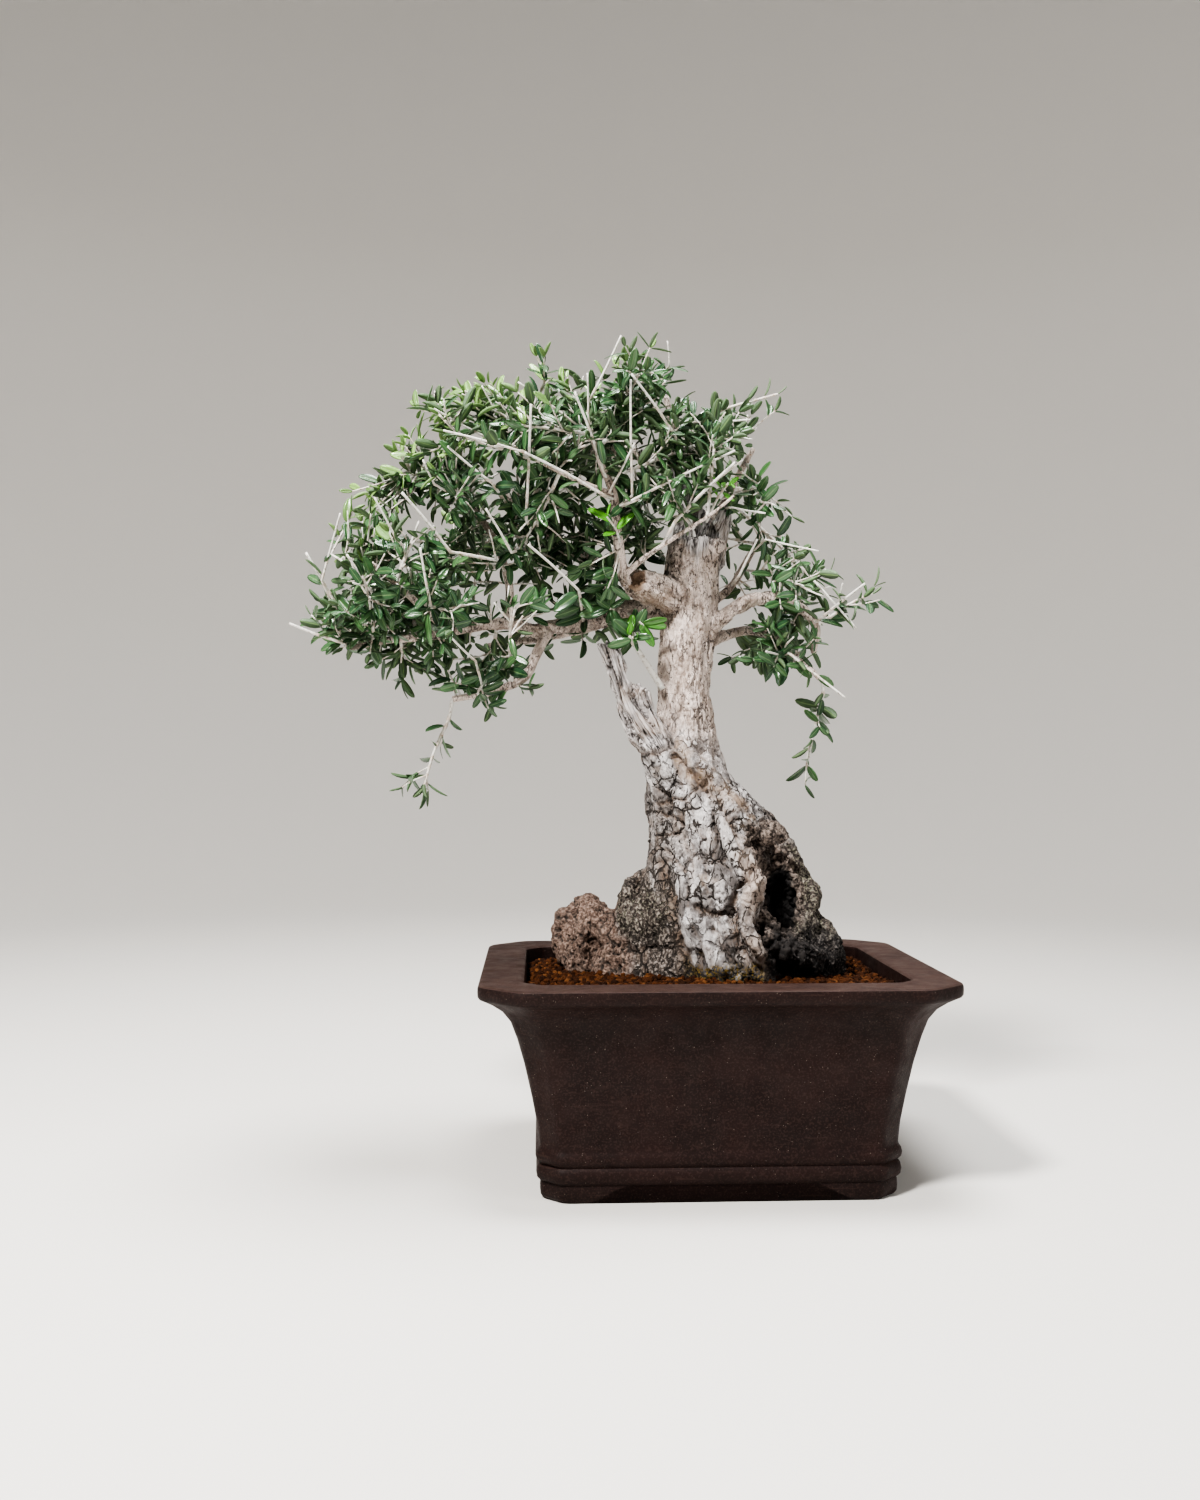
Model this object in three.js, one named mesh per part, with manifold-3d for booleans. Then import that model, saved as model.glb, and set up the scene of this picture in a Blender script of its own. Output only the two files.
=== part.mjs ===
// Olive bonsai: an old hollow trunk with deadwood and pruned limbs, in a deep rectangular stoneware pot.
// Millimetres, +Z up. The pot is centred on x = 0, y = 0 and stands on z = 0; its broad face looks along -Y.

import * as THREE from 'three';
import { mergeVertices } from 'three/addons/utils/BufferGeometryUtils.js';
import Module from 'manifold-3d';

const wasm = await Module();
wasm.setup();

// ---------------------------------------------------------------- driving dimensions

const gap = 0.3; // clearance between pieces that touch
const fit = 0.45; // outward offset of a solid that cuts its neighbour, so that at least the gap is left

const sliver = 0.03; // edges shorter than this are closed up

const pot = {
  rimHalfWidth: 180,
  rimHalfDepth: 142.5,
  depthPerWidth: 0.676, // how fast the half depth follows the half width
  waistHalfWidth: 135,
  waistChamfer: [16, 15], // corner cut across the width and the depth
  rimChamfer: [30.4, 27.5],
  innerChamfer: 14,
  floorTop: 28,
  recess: 13, // height of the gap under the floor, between the feet
  footLength: 33,
  footSlope: 35,
  drainRadius: 13,
  drainSpacing: 124,
};

// Outside of the pot from the ground up: height, half width. Two rolls stand above the feet.
const wallProfile = [
  [0, 131.5], [2, 133.2], [12, 134], [13.5, 133], [15, 135.6], [20, 136.8], [24.5, 135.4], [26, 133.6],
  [28, 136], [32, 137.4], [36, 136], [38.5, 134.6], [50, 135.6], [75, 140], [100, 145.6],
  [119, 151], [132, 155.8], [142, 165], [149.5, 179], [151, 180], [158.5, 180], [160, 178.6],
];

// Inside of the pot from the rim down: height, half width, half depth.
const cavityProfile = [[160, 145.6, 105.7], [150, 145.2, 105.4], [100, 133, 104.5], [28, 121, 98.5]];

const soil = {
  level: 149.5,
  cell: 16, // spacing of the lumps in the surface
  grain: 1.7,
  wave: 1.1,
  seed: 41,
};

const screen = { size: 44, thickness: 1.2, bar: 3, openings: 3 };

// Trunk from the root plug to the broken top: height, centre x, centre y, half width, half depth.
const trunkSections = [
  [112, 22, 26, 44, 30],
  [134, 25, 25, 72, 43],
  [150, 27, 25, 82, 50],
  [170, 29, 25, 79, 49],
  [191, 24, 25, 76, 47],
  [212, 17, 25, 67, 45],
  [235, 15, 26, 61, 42],
  [257, 14, 26, 57, 40],
  [273, 8, 26, 52, 38],
  [288, 1, 27, 46, 36],
  [301, -6, 27, 40, 34],
  [318, -12, 27, 33.5, 31],
  [339, -14, 27, 28, 28],
  [360, -13, 27, 23.5, 26],
  [385, -14, 27, 21.5, 25],
  [415, -12, 27, 22.5, 24.5],
  [450, -9, 27, 23, 24],
  [486, -7, 27, 22.5, 23],
  [508, -4, 27, 22, 21],
];
const trunk = {
  sides: 24,
  ringSpacing: 15,
  rootRelief: 0.085, // depth of the flutes, as a share of the radius
  topRelief: 0.035,
  rootCrag: 2.6, // depth of the cracked bark plates
  topCrag: 0.7,
  reliefTop: 380, // height where the old wood ends
  seed: 23,
};

// Masses that grow out of the trunk: points along the middle, and the radius at each.
const masses = {
  burl: {
    points: [[-88, 55, 128], [-92, 55, 148], [-95, 55, 166], [-96, 55, 186], [-92, 55, 202],
      [-88, 55, 212]],
    radii: [17, 24, 27, 28, 20, 8],
    sides: 11,
  },
  leftShoulder: {
    points: [[-38, 24, 126], [-48, 26, 150], [-54, 30, 176], [-54, 34, 200], [-44, 34, 222]],
    radii: [18, 26, 27, 20, 9],
    sides: 11,
  },
  frontRoot: {
    points: [[24, -14, 126], [22, -12, 156], [12, -8, 200], [2, 2, 250]],
    radii: [17, 18, 15, 8],
    sides: 8,
  },
  rightRoot: {
    points: [[98, 26, 126], [102, 20, 152], [99, 14, 178], [92, 12, 200], [85, 14, 226],
      [72, 18, 256], [58, 20, 276]],
    radii: [15, 17, 13, 12, 13, 12, 8],
    sides: 9,
  },
  barkRidge: {
    points: [[-30, 6, 338], [-12, 2, 318], [6, 2, 300], [22, 0, 282], [36, -2, 262]],
    radii: [8, 13, 10, 12, 7],
    sides: 8,
  },
  hollowLip: {
    points: [[24, -8, 276], [32, -14, 252], [42, -20, 228], [41, -24, 204], [52, -22, 176], [60, -16, 130]],
    radii: [5, 8, 8, 9, 10, 11],
    sides: 7,
  },
  knob: {
    points: [[-14, 22, 452], [-36, 6, 462], [-58, -8, 468]],
    radii: [15, 14, 13],
    sides: 9,
  },
  leftSpur: {
    points: [[-13, 25, 490], [-15, 24, 514], [-15, 24, 538]],
    radii: [11, 8, 2.5],
    sides: 6,
  },
  rightSpur: {
    points: [[9, 28, 488], [16, 28, 516], [26, 28, 549]],
    radii: [11, 8, 2],
    sides: 6,
  },
  deadwood: {
    points: [[-26, 18, 306], [-45, 8, 332], [-58, 2, 358], [-72, -3, 388], [-85, -6, 418]],
    radii: [20, 17, 12.5, 8, 2.5],
    sides: 8,
  },
  deadwoodFork: {
    points: [[-42, 8, 328], [-50, 4, 356], [-56, 2, 388]],
    radii: [13, 9, 2.5],
    sides: 6,
  },
};

// What is eaten out of the old wood, given the same way.
const hollows = {
  base: {
    points: [[38, -30, 264], [50, -14, 250], [64, -2, 228], [74, 4, 206], [78, -2, 184], [76, -30, 170]],
    radii: [6, 12, 18, 21, 16, 9],
    sides: 10,
  },
  pit: {
    points: [[18, -44, 203], [19, -22, 203], [20, -12, 204]],
    radii: [9, 6, 3],
    sides: 6,
  },
  brokenTop: {
    points: [[0, 20, 540], [-1, 20, 512], [-2, 22, 490]],
    radii: [16, 8, 3],
    sides: 7,
  },
  knobFace: {
    points: [[-72, -17, 473], [-60, -9.5, 469], [-50, -4, 466]],
    radii: [13, 8, 3],
    sides: 7,
  },
};

// Pruned limbs. Sprays grow from the stretch after "bare" (share of the limb's points, from the trunk).
const limbs = {
  left: {
    points: [[-22, 34, 462], [-50, 40, 452], [-85, 45, 447], [-133, 35, 434], [-160, 25, 438],
      [-190, 15, 434],
      [-224, 5, 425], [-258, -5, 421], [-286, -10, 414]],
    radii: [12, 10, 8, 6, 5, 4.2, 3.4, 2.8, 2.2],
    bare: 4,
  },
  leftLow: {
    points: [[-128, 36, 433], [-138, 25, 411], [-148, 15, 392], [-175, 5, 380], [-205, 0, 374]],
    radii: [5, 4.2, 3.6, 3, 2.4],
    bare: 2,
  },
  leftRise: {
    points: [[-160, 25, 440], [-160, 20, 470], [-170, 12, 502], [-186, 2, 526], [-205, -10, 544]],
    radii: [4, 3.4, 2.9, 2.5, 2],
    bare: 1,
  },
  leftFan: {
    points: [[-190, 15, 434], [-214, 34, 448], [-240, 52, 464], [-262, 62, 476]],
    radii: [3.8, 3.2, 2.6, 2],
    bare: 1,
  },
  leftFront: {
    points: [[-208, 9, 429], [-226, -22, 444], [-246, -48, 462], [-262, -66, 474]],
    radii: [3.4, 2.9, 2.5, 2],
    bare: 1,
  },
  backLow: {
    points: [[-60, 42, 450], [-96, 58, 438], [-136, 74, 430], [-180, 84, 424]],
    radii: [6, 4.6, 3.6, 2.4],
    bare: 1,
  },
  middle: {
    points: [[-16, 42, 462], [-46, 56, 478], [-80, 66, 492], [-116, 70, 512], [-148, 66, 538],
      [-172, 62, 560]],
    radii: [9, 7, 5.6, 4.4, 3.4, 2.4],
    bare: 2,
  },
  top: {
    points: [[-4, 34, 480], [6, 46, 512], [-4, 52, 545], [-26, 52, 575], [-56, 47, 586], [-88, 40, 588],
      [-120, 34, 594], [-148, 28, 602]],
    radii: [10, 7.5, 6.2, 5.2, 4.6, 4, 3.2, 2.4],
    bare: 3,
  },
  topRise: {
    points: [[-26, 52, 575], [-22, 46, 604], [-28, 38, 632]],
    radii: [3.8, 3, 2.2],
    bare: 1,
  },
  topRight: {
    points: [[4, 47, 514], [20, 52, 540], [34, 46, 566], [46, 36, 588]],
    radii: [4.4, 3.6, 2.9, 2.2],
    bare: 1,
  },
  front: {
    points: [[-30, 6, 466], [-42, -6, 484], [-60, -22, 508], [-76, -36, 534], [-86, -44, 556],
      [-94, -50, 578]],
    radii: [7, 5, 4, 3.2, 2.6, 2],
    bare: 3,
  },
  frontLeft: {
    points: [[-76, -36, 534], [-108, -48, 544], [-140, -56, 558]],
    radii: [2.8, 2.3, 1.9],
    bare: 1,
  },
  frontRight: {
    points: [[-44, -8, 487], [-22, -28, 500], [-2, -36, 516]],
    radii: [3.2, 2.5, 1.9],
    bare: 1,
  },
  right: {
    points: [[-2, 22, 430], [16, 14, 442], [31, 10, 453], [55, 10, 459], [80, 14, 452],
      [95, 18, 436], [94, 22, 414]],
    radii: [9, 6.8, 5.6, 5, 4.2, 3.6, 2.4],
    bare: 3,
  },
  rightBack: {
    points: [[2, 38, 422], [26, 54, 432], [52, 62, 436], [80, 54, 420], [103, 42, 394]],
    radii: [6, 4.6, 3.8, 3, 2],
    bare: 1,
  },
  rightRise: {
    points: [[2, 40, 452], [26, 46, 470], [44, 50, 498], [56, 50, 522]],
    radii: [4.6, 3.4, 2.8, 2],
    bare: 1,
  },
};
const limbSides = 6;

// Rounded parts of the crown that the tips of the sprays reach: centre, radii, number of tips aimed at.
const crownLobes = [
  { centre: [-232, 12, 464], radii: [78, 96, 66], tips: 15 },
  { centre: [-166, 16, 548], radii: [76, 96, 62], tips: 11 },
  { centre: [-62, 22, 590], radii: [82, 92, 66], tips: 12 },
  { centre: [22, 34, 562], radii: [50, 70, 50], tips: 7 },
  { centre: [72, 34, 438], radii: [62, 70, 52], tips: 10 },
  { centre: [-162, 8, 424], radii: [80, 86, 46], tips: 8 },
];

// Single sprays that stand out of the crown, from their limb to the tip.
const loneSprays = [
  [[-205, 0, 374], [-208, -2, 358], [-220, -4, 330], [-228, -4, 302]],
  [[-148, 28, 602], [-136, 14, 624], [-130, 6, 638], [-137, 2, 654]],
  [[-140, -56, 558], [-168, -58, 566], [-194, -60, 574], [-212, -60, 590]],
  [[95, 18, 436], [112, 15, 447], [126, 10, 456], [140, 6, 462]],
  [[103, 42, 394], [106, 40, 384], [98, 36, 354], [92, 34, 326]],
  [[-286, -10, 414], [-291, -12, 420], [-294, -15, 428], [-294, -16, 438]],
];

const spray = {
  seed: 7,
  stemRadius: [1.7, 0.9],
  twigRadius: 0.9,
  twigLength: [26, 40],
  bow: 0.07, // sideways bow of a stem, as a share of its length
  anchorSpacing: 11,
  clearance: 1.2,
  nodes: [0.42, 0.7, 1], // where the pairs of leaves stand, as a share of the stem
  nodeLength: 2.2,
  stub: 1.5, // bare end of a stem beyond its last pair of leaves
  endLeafShare: 0.6, // share of the stems that end in a leaf
};

const leaf = {
  length: [21, 27],
  width: [7.5, 9.5],
  thickness: 1.2,
  widest: 0.36, // share of the length at the first pair of corners
  shoulder: 0.72, // and at the second pair
  shoulderWidth: 0.82, // width there, as a share of the width
  lean: [0.7, 1.05], // angle between a leaf and its stem
  twist: 2.4, // range of its turn about its own length
  attempts: 4, // angles tried before a leaf is left out
};

const colours = {
  stoneware: 0x3b2a27,
  soil: 0x6d3b28,
  mesh: 0x1f2a24,
  bark: 0xb7a48f,
  leaf: 0x2f5a35,
};

// ---------------------------------------------------------------- small tools

// Seeded random numbers: every run grows the same tree.
function seededRandom(seed) {
  let state = seed >>> 0;
  return () => {
    state = (state + 0x6d2b79f5) >>> 0;
    let mixed = Math.imul(state ^ (state >>> 15), state | 1);
    mixed ^= mixed + Math.imul(mixed ^ (mixed >>> 7), mixed | 61);
    return ((mixed ^ (mixed >>> 14)) >>> 0) / 4294967296;
  };
}

const between = (range, share) => range[0] + (range[1] - range[0]) * share;
const vector = (values) => new THREE.Vector3(...values);

// Value of a table of rows [key, ...values] at a key between its rows.
function interpolate(rows, key) {
  const upper = rows.findIndex((row) => row[0] >= key);
  if (upper <= 0) {
    return upper === 0 ? rows[0].slice(1) : rows[rows.length - 1].slice(1);
  }
  const [low, high] = [rows[upper - 1], rows[upper]];
  const share = (key - low[0]) / (high[0] - low[0]);
  return low.slice(1).map((value, index) => value + (high[index + 1] - value) * share);
}

function toSolid(geometry) {
  const bare = geometry.clone();
  bare.deleteAttribute('normal');
  bare.deleteAttribute('uv');
  const merged = mergeVertices(bare, 1e-4);
  return new wasm.Manifold(new wasm.Mesh({
    numProp: 3,
    vertProperties: new Float32Array(merged.attributes.position.array),
    triVerts: new Uint32Array(merged.index.array),
  }));
}

// The largest body, so that a scrap cut off by a neighbour is dropped.
function largestBody(solid) {
  const bodies = solid.decompose();
  return bodies.reduce((best, body) => (body.volume() > best.volume() ? body : best));
}

// Slivers thinner than "sliver", left where pieces cross, are closed up.
function toGeometry(solid) {
  const mesh = largestBody(solid.simplify(sliver)).getMesh();
  const geometry = new THREE.BufferGeometry();
  geometry.setAttribute('position', new THREE.Float32BufferAttribute(mesh.vertProperties, 3));
  geometry.setIndex([...mesh.triVerts]);
  return geometry;
}

const joinAll = (solids) => solids.reduce((whole, solid) => whole.add(solid));

// A closed skin over rings of equally many points, which run counter-clockwise seen from the last ring.
function loft(rings) {
  const count = rings[0].length;
  const positions = [];
  const index = [];
  rings.flat().forEach((point) => positions.push(point.x, point.y, point.z));
  for (let ring = 0; ring < rings.length - 1; ring += 1) {
    for (let side = 0; side < count; side += 1) {
      const next = (side + 1) % count;
      const [a, b] = [ring * count + side, ring * count + next];
      index.push(a, b, b + count, a, b + count, a + count);
    }
  }
  const ends = [rings[0], rings[rings.length - 1]];
  ends.forEach((ring, end) => {
    const middle = ring.reduce((sum, point) => sum.add(point), new THREE.Vector3()).divideScalar(count);
    const hub = positions.length / 3;
    const first = end === 0 ? 0 : (rings.length - 1) * count;
    positions.push(middle.x, middle.y, middle.z);
    for (let side = 0; side < count; side += 1) {
      const [a, b] = [first + side, first + (side + 1) % count];
      index.push(hub, end === 0 ? b : a, end === 0 ? a : b);
    }
  });
  const geometry = new THREE.BufferGeometry();
  geometry.setAttribute('position', new THREE.Float32BufferAttribute(positions, 3));
  geometry.setIndex(index);
  return geometry;
}

// Each point of a route with its direction and two directions across it, which turn as little as they can.
function framesAlong(route) {
  const normal = new THREE.Vector3();
  return route.map((point, step) => {
    const before = route[Math.max(step - 1, 0)];
    const after = route[Math.min(step + 1, route.length - 1)];
    const tangent = after.clone().sub(before).normalize();
    if (step === 0) {
      normal.set(...(Math.abs(tangent.z) < 0.8 ? [0, 0, 1] : [0, -1, 0]));
    }
    normal.addScaledVector(tangent, -normal.dot(tangent)).normalize();
    return { point, tangent, normal: normal.clone(), side: tangent.clone().cross(normal) };
  });
}

// A tube with its own radius at each point; relief moves its skin in and out as a share of the radius.
function taperedTube(route, radii, sides, grow = 0, relief = () => 0) {
  const frames = framesAlong(route);
  const rings = frames.map(({ point, normal, side }, step) => (
    Array.from({ length: sides }, (_, index) => {
      const angle = (index / sides) * 2 * Math.PI;
      const radius = radii[step] * (1 + relief(angle, step)) + grow;
      return point.clone()
        .addScaledVector(normal, radius * Math.cos(angle))
        .addScaledVector(side, radius * Math.sin(angle));
    })
  ));
  rings[0].forEach((point) => point.addScaledVector(frames[0].tangent, -grow));
  rings[rings.length - 1].forEach((point) => point.addScaledVector(frames[rings.length - 1].tangent, grow));
  return toSolid(loft(rings));
}

// ---------------------------------------------------------------- pot, soil, drain screens

// Rectangle with cut and slightly rounded corners, counter-clockwise from the front left.
function cornerCutRing(halfWidth, halfDepth, cutX, cutY, height) {
  const soften = 0.16;
  const quarter = [];
  [[0, cutY], [cutX, 0]].forEach(([inX, inY]) => {
    const alongCut = [(cutX - 2 * inX) * soften, (cutY - 2 * inY) * soften];
    const alongWall = inX === 0 ? [0, cutY * soften] : [cutX * soften, 0];
    const corner = [halfWidth - inX, halfDepth - inY];
    const wallSide = [corner[0] - alongWall[0], corner[1] - alongWall[1]];
    const cutSide = [corner[0] - alongCut[0], corner[1] - alongCut[1]];
    quarter.push(...(inX === 0 ? [wallSide, cutSide] : [cutSide, wallSide]));
  });
  const mirrored = [...quarter].reverse();
  return [
    ...quarter.map(([x, y]) => new THREE.Vector3(x, y, height)),
    ...mirrored.map(([x, y]) => new THREE.Vector3(-x, y, height)),
    ...quarter.map(([x, y]) => new THREE.Vector3(-x, -y, height)),
    ...mirrored.map(([x, y]) => new THREE.Vector3(x, -y, height)),
  ];
}

function wallRing(halfWidth, height) {
  const flare = (halfWidth - pot.waistHalfWidth) / (pot.rimHalfWidth - pot.waistHalfWidth);
  const halfDepth = pot.rimHalfDepth - (pot.rimHalfWidth - halfWidth) * pot.depthPerWidth;
  const share = Math.max(flare, 0);
  const cutX = between([pot.waistChamfer[0], pot.rimChamfer[0]], share);
  const cutY = between([pot.waistChamfer[1], pot.rimChamfer[1]], share);
  return cornerCutRing(halfWidth, halfDepth, cutX, cutY, height);
}

function cavityRing([height, halfWidth, halfDepth], inset) {
  return cornerCutRing(halfWidth - inset, halfDepth - inset, pot.innerChamfer, pot.innerChamfer, height);
}

// Slot under the floor, as long as "length", between two feet that slope up into it.
function footSlot(halfSpan, length, turn) {
  const flat = halfSpan - pot.footLength;
  const outline = new THREE.Shape();
  outline.moveTo(-flat, -1);
  outline.lineTo(-flat, 0.6);
  outline.quadraticCurveTo(-flat + 0.4 * pot.footSlope, 1.5, -flat + 0.6 * pot.footSlope, 0.5 * pot.recess);
  outline.quadraticCurveTo(-flat + 0.75 * pot.footSlope, pot.recess, -flat + pot.footSlope, pot.recess);
  outline.lineTo(flat - pot.footSlope, pot.recess);
  outline.quadraticCurveTo(
    flat - 0.75 * pot.footSlope, pot.recess, flat - 0.6 * pot.footSlope, 0.5 * pot.recess,
  );
  outline.quadraticCurveTo(flat - 0.4 * pot.footSlope, 1.5, flat, 0.6);
  outline.lineTo(flat, -1);
  const prism = new THREE.ExtrudeGeometry(outline, { depth: length, bevelEnabled: false, curveSegments: 3 });
  prism.translate(0, 0, -length / 2);
  prism.rotateX(Math.PI / 2);
  prism.rotateZ(turn);
  return toSolid(prism);
}

function drainHole(x) {
  const hole = new THREE.CylinderGeometry(pot.drainRadius, pot.drainRadius, pot.floorTop, 16);
  hole.rotateX(Math.PI / 2);
  hole.translate(x, 0, pot.floorTop - 5);
  return toSolid(hole);
}

function potSolid() {
  const outside = wallProfile.map(([height, halfWidth]) => wallRing(halfWidth, height));
  const inside = cavityProfile.map((row) => cavityRing(row, 0));
  const footHalfDepth = pot.rimHalfDepth - (pot.rimHalfWidth - pot.waistHalfWidth) * pot.depthPerWidth;
  return toSolid(loft([...outside, ...inside]))
    .subtract(footSlot(pot.waistHalfWidth, 2 * pot.rimHalfDepth, 0))
    .subtract(footSlot(footHalfDepth, 2 * pot.rimHalfWidth, Math.PI / 2))
    .subtract(drainHole(-pot.drainSpacing / 2))
    .subtract(drainHole(pot.drainSpacing / 2));
}

// A square plate with square openings, laid over a drain hole.
function screenSolid(x) {
  const pitch = (screen.size - screen.bar) / screen.openings;
  const opening = pitch - screen.bar;
  const first = (pitch - (screen.size - screen.bar)) / 2;
  let plate = toSolid(new THREE.BoxGeometry(screen.size, screen.size, screen.thickness));
  for (let row = 0; row < screen.openings; row += 1) {
    for (let column = 0; column < screen.openings; column += 1) {
      const cutter = new THREE.BoxGeometry(opening, opening, 2 * screen.thickness);
      cutter.translate(first + column * pitch, first + row * pitch, 0);
      plate = plate.subtract(toSolid(cutter));
    }
  }
  return plate.translate([x, 0, pot.floorTop + gap + screen.thickness / 2]);
}

function screenPocket(x) {
  const side = screen.size + 2 * gap;
  const height = 2 * (screen.thickness + 2 * gap);
  const pocket = new THREE.BoxGeometry(side, side, height);
  pocket.translate(x, 0, pot.floorTop);
  return toSolid(pocket);
}

// Lumpy surface over the filled inside of the pot; the wood stands in a hole of its own shape.
function soilSolid(rootedWood) {
  const random = seededRandom(soil.seed);
  const [width, depth] = [2 * 150, 2 * 110];
  const height = 140;
  const block = new THREE.BoxGeometry(
    width, depth, height, Math.round(width / soil.cell), Math.round(depth / soil.cell), 1,
  );
  const place = block.attributes.position;
  for (let index = 0; index < place.count; index += 1) {
    const [x, y, z] = [place.getX(index), place.getY(index), place.getZ(index)];
    const edge = Math.abs(x) > width / 2 - 1 || Math.abs(y) > depth / 2 - 1;
    if (z > 0 && !edge) {
      const wave = soil.wave * Math.sin(x / 31 + 0.8) * Math.cos(y / 23);
      const grain = soil.grain * (2 * random() - 1);
      const shift = 0.3 * soil.cell;
      place.setXYZ(index, x + shift * (2 * random() - 1), y + shift * (2 * random() - 1), z + wave + grain);
    }
  }
  block.translate(0, 0, soil.level - height / 2);
  const cavity = [...cavityProfile].reverse().map((row) => cavityRing(row, gap));
  cavity[0].forEach((point) => point.setZ(pot.floorTop + gap));
  return toSolid(loft(cavity))
    .intersect(toSolid(block))
    .subtract(rootedWood)
    .subtract(screenPocket(-pot.drainSpacing / 2))
    .subtract(screenPocket(pot.drainSpacing / 2));
}

// ---------------------------------------------------------------- wood

// How old the wood is at a height: 1 near the roots, 0 from the end of the old wood up.
const age = (height) => THREE.MathUtils.clamp((trunk.reliefTop - height) / 200, 0, 1);

// Flutes and swellings round the trunk, stronger on the old wood near the roots.
function trunkRelief(angle, height) {
  return between([trunk.topRelief, trunk.rootRelief], age(height)) * (
    0.6 * Math.sin(5 * angle + height / 46)
    + 0.45 * Math.sin(8 * angle - height / 27 + 1.7)
    + 0.35 * Math.sin(3 * angle + height / 61 + 4.1)
  );
}

function trunkStem(grow) {
  const random = seededRandom(trunk.seed);
  const [bottom, top] = [trunkSections[0][0], trunkSections[trunkSections.length - 1][0]];
  const steps = Math.round((top - bottom) / trunk.ringSpacing);
  const rings = Array.from({ length: steps + 1 }, (_, step) => {
    const height = bottom + ((top - bottom) * step) / steps;
    const [x, y, halfWidth, halfDepth] = interpolate(trunkSections, height);
    return Array.from({ length: trunk.sides }, (_, side) => {
      const angle = (side / trunk.sides) * 2 * Math.PI;
      const swell = 1 + trunkRelief(angle, height);
      const crag = between([trunk.topCrag, trunk.rootCrag], age(height)) * (2 * random() - 1);
      return new THREE.Vector3(
        x + (halfWidth * swell + crag + grow) * Math.cos(angle),
        y + (halfDepth * swell + crag + grow) * Math.sin(angle),
        step === 0 ? height - grow : height,
      );
    });
  });
  return toSolid(loft(rings));
}

// Lumps on a mass of old wood; each mass has its own phase.
const lumps = (phase) => (angle, step) => (
  0.1 * Math.sin(3 * angle + 2.1 * step + phase) + 0.09 * Math.sin(5 * angle - 1.3 * step + 2 * phase)
);

function massSolid(mass, phase, grow) {
  return taperedTube(mass.points.map(vector), mass.radii, mass.sides, grow, lumps(phase));
}

const limbSolid = (limb, grow) => taperedTube(limb.points.map(vector), limb.radii, limbSides, grow);

function woodSolid(grow) {
  const grown = Object.values(masses).map((mass, index) => massSolid(mass, index * 1.9, grow));
  const branches = Object.values(limbs).map((limb) => limbSolid(limb, grow));
  return joinAll([trunkStem(grow), ...grown, ...branches]);
}

function trunkSolid() {
  const eaten = Object.values(hollows).map((hollow, index) => massSolid(hollow, index * 2.3, 0));
  return largestBody(eaten.reduce((wood, hollow) => wood.subtract(hollow), woodSolid(0)));
}

// ---------------------------------------------------------------- leafy sprays

// Shortest distance between the middle lines of two rods.
function rodDistance(first, second) {
  const u = first.end.clone().sub(first.start);
  const v = second.end.clone().sub(second.start);
  const w = first.start.clone().sub(second.start);
  const [uu, uv, vv, uw, vw] = [u.dot(u), u.dot(v), v.dot(v), u.dot(w), v.dot(w)];
  const spread = uu * vv - uv * uv;
  let alongFirst = spread > 1e-6 ? THREE.MathUtils.clamp((uv * vw - vv * uw) / spread, 0, 1) : 0;
  let alongSecond = THREE.MathUtils.clamp((uv * alongFirst + vw) / vv, 0, 1);
  alongFirst = THREE.MathUtils.clamp((uv * alongSecond - uw) / uu, 0, 1);
  alongSecond = THREE.MathUtils.clamp((uv * alongFirst + vw) / vv, 0, 1);
  return w.addScaledVector(u, alongFirst).addScaledVector(v, -alongSecond).length();
}

const rod = (start, end, radius, owner) => ({ start, end, radius, owner });
const sprayName = (index) => `spray_${String(index + 1).padStart(2, '0')}`;

// Everything already in place that a new stem or leaf keeps clear of.
const placed = [];

function rodsAlong(points, radii, owner) {
  return points.slice(1).map((point, step) => (
    rod(points[step], point, Math.max(radii[step], radii[step + 1]), owner)
  ));
}

function placeWood() {
  const axis = trunkSections.map(([height, x, y]) => new THREE.Vector3(x, y, height));
  placed.push(...rodsAlong(axis, trunkSections.map((row) => Math.max(row[3], row[4]) * 1.08), 'wood'));
  [...Object.values(masses), ...Object.values(limbs)].forEach((wood) => {
    placed.push(...rodsAlong(wood.points.map(vector), wood.radii.map((radius) => radius * 1.15), 'wood'));
  });
}

function isClear(candidate) {
  return placed.every((other) => (
    other.owner === candidate.owner
    || rodDistance(candidate, other) > candidate.radius + other.radius + spray.clearance
  ));
}

// Places along the limbs where a spray can start: point, direction of the limb, radius.
function sprayAnchors() {
  return Object.values(limbs).flatMap((limb) => {
    const found = [];
    for (let step = limb.bare; step < limb.points.length - 1; step += 1) {
      const [start, end] = [vector(limb.points[step]), vector(limb.points[step + 1])];
      const count = Math.max(1, Math.round(start.distanceTo(end) / spray.anchorSpacing));
      for (let part = 1; part <= count; part += 1) {
        const share = part / count;
        found.push({
          point: start.clone().lerp(end, share),
          along: end.clone().sub(start).normalize(),
          radius: between([limb.radii[step], limb.radii[step + 1]], share),
          used: false,
        });
      }
    }
    return found;
  });
}

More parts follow.
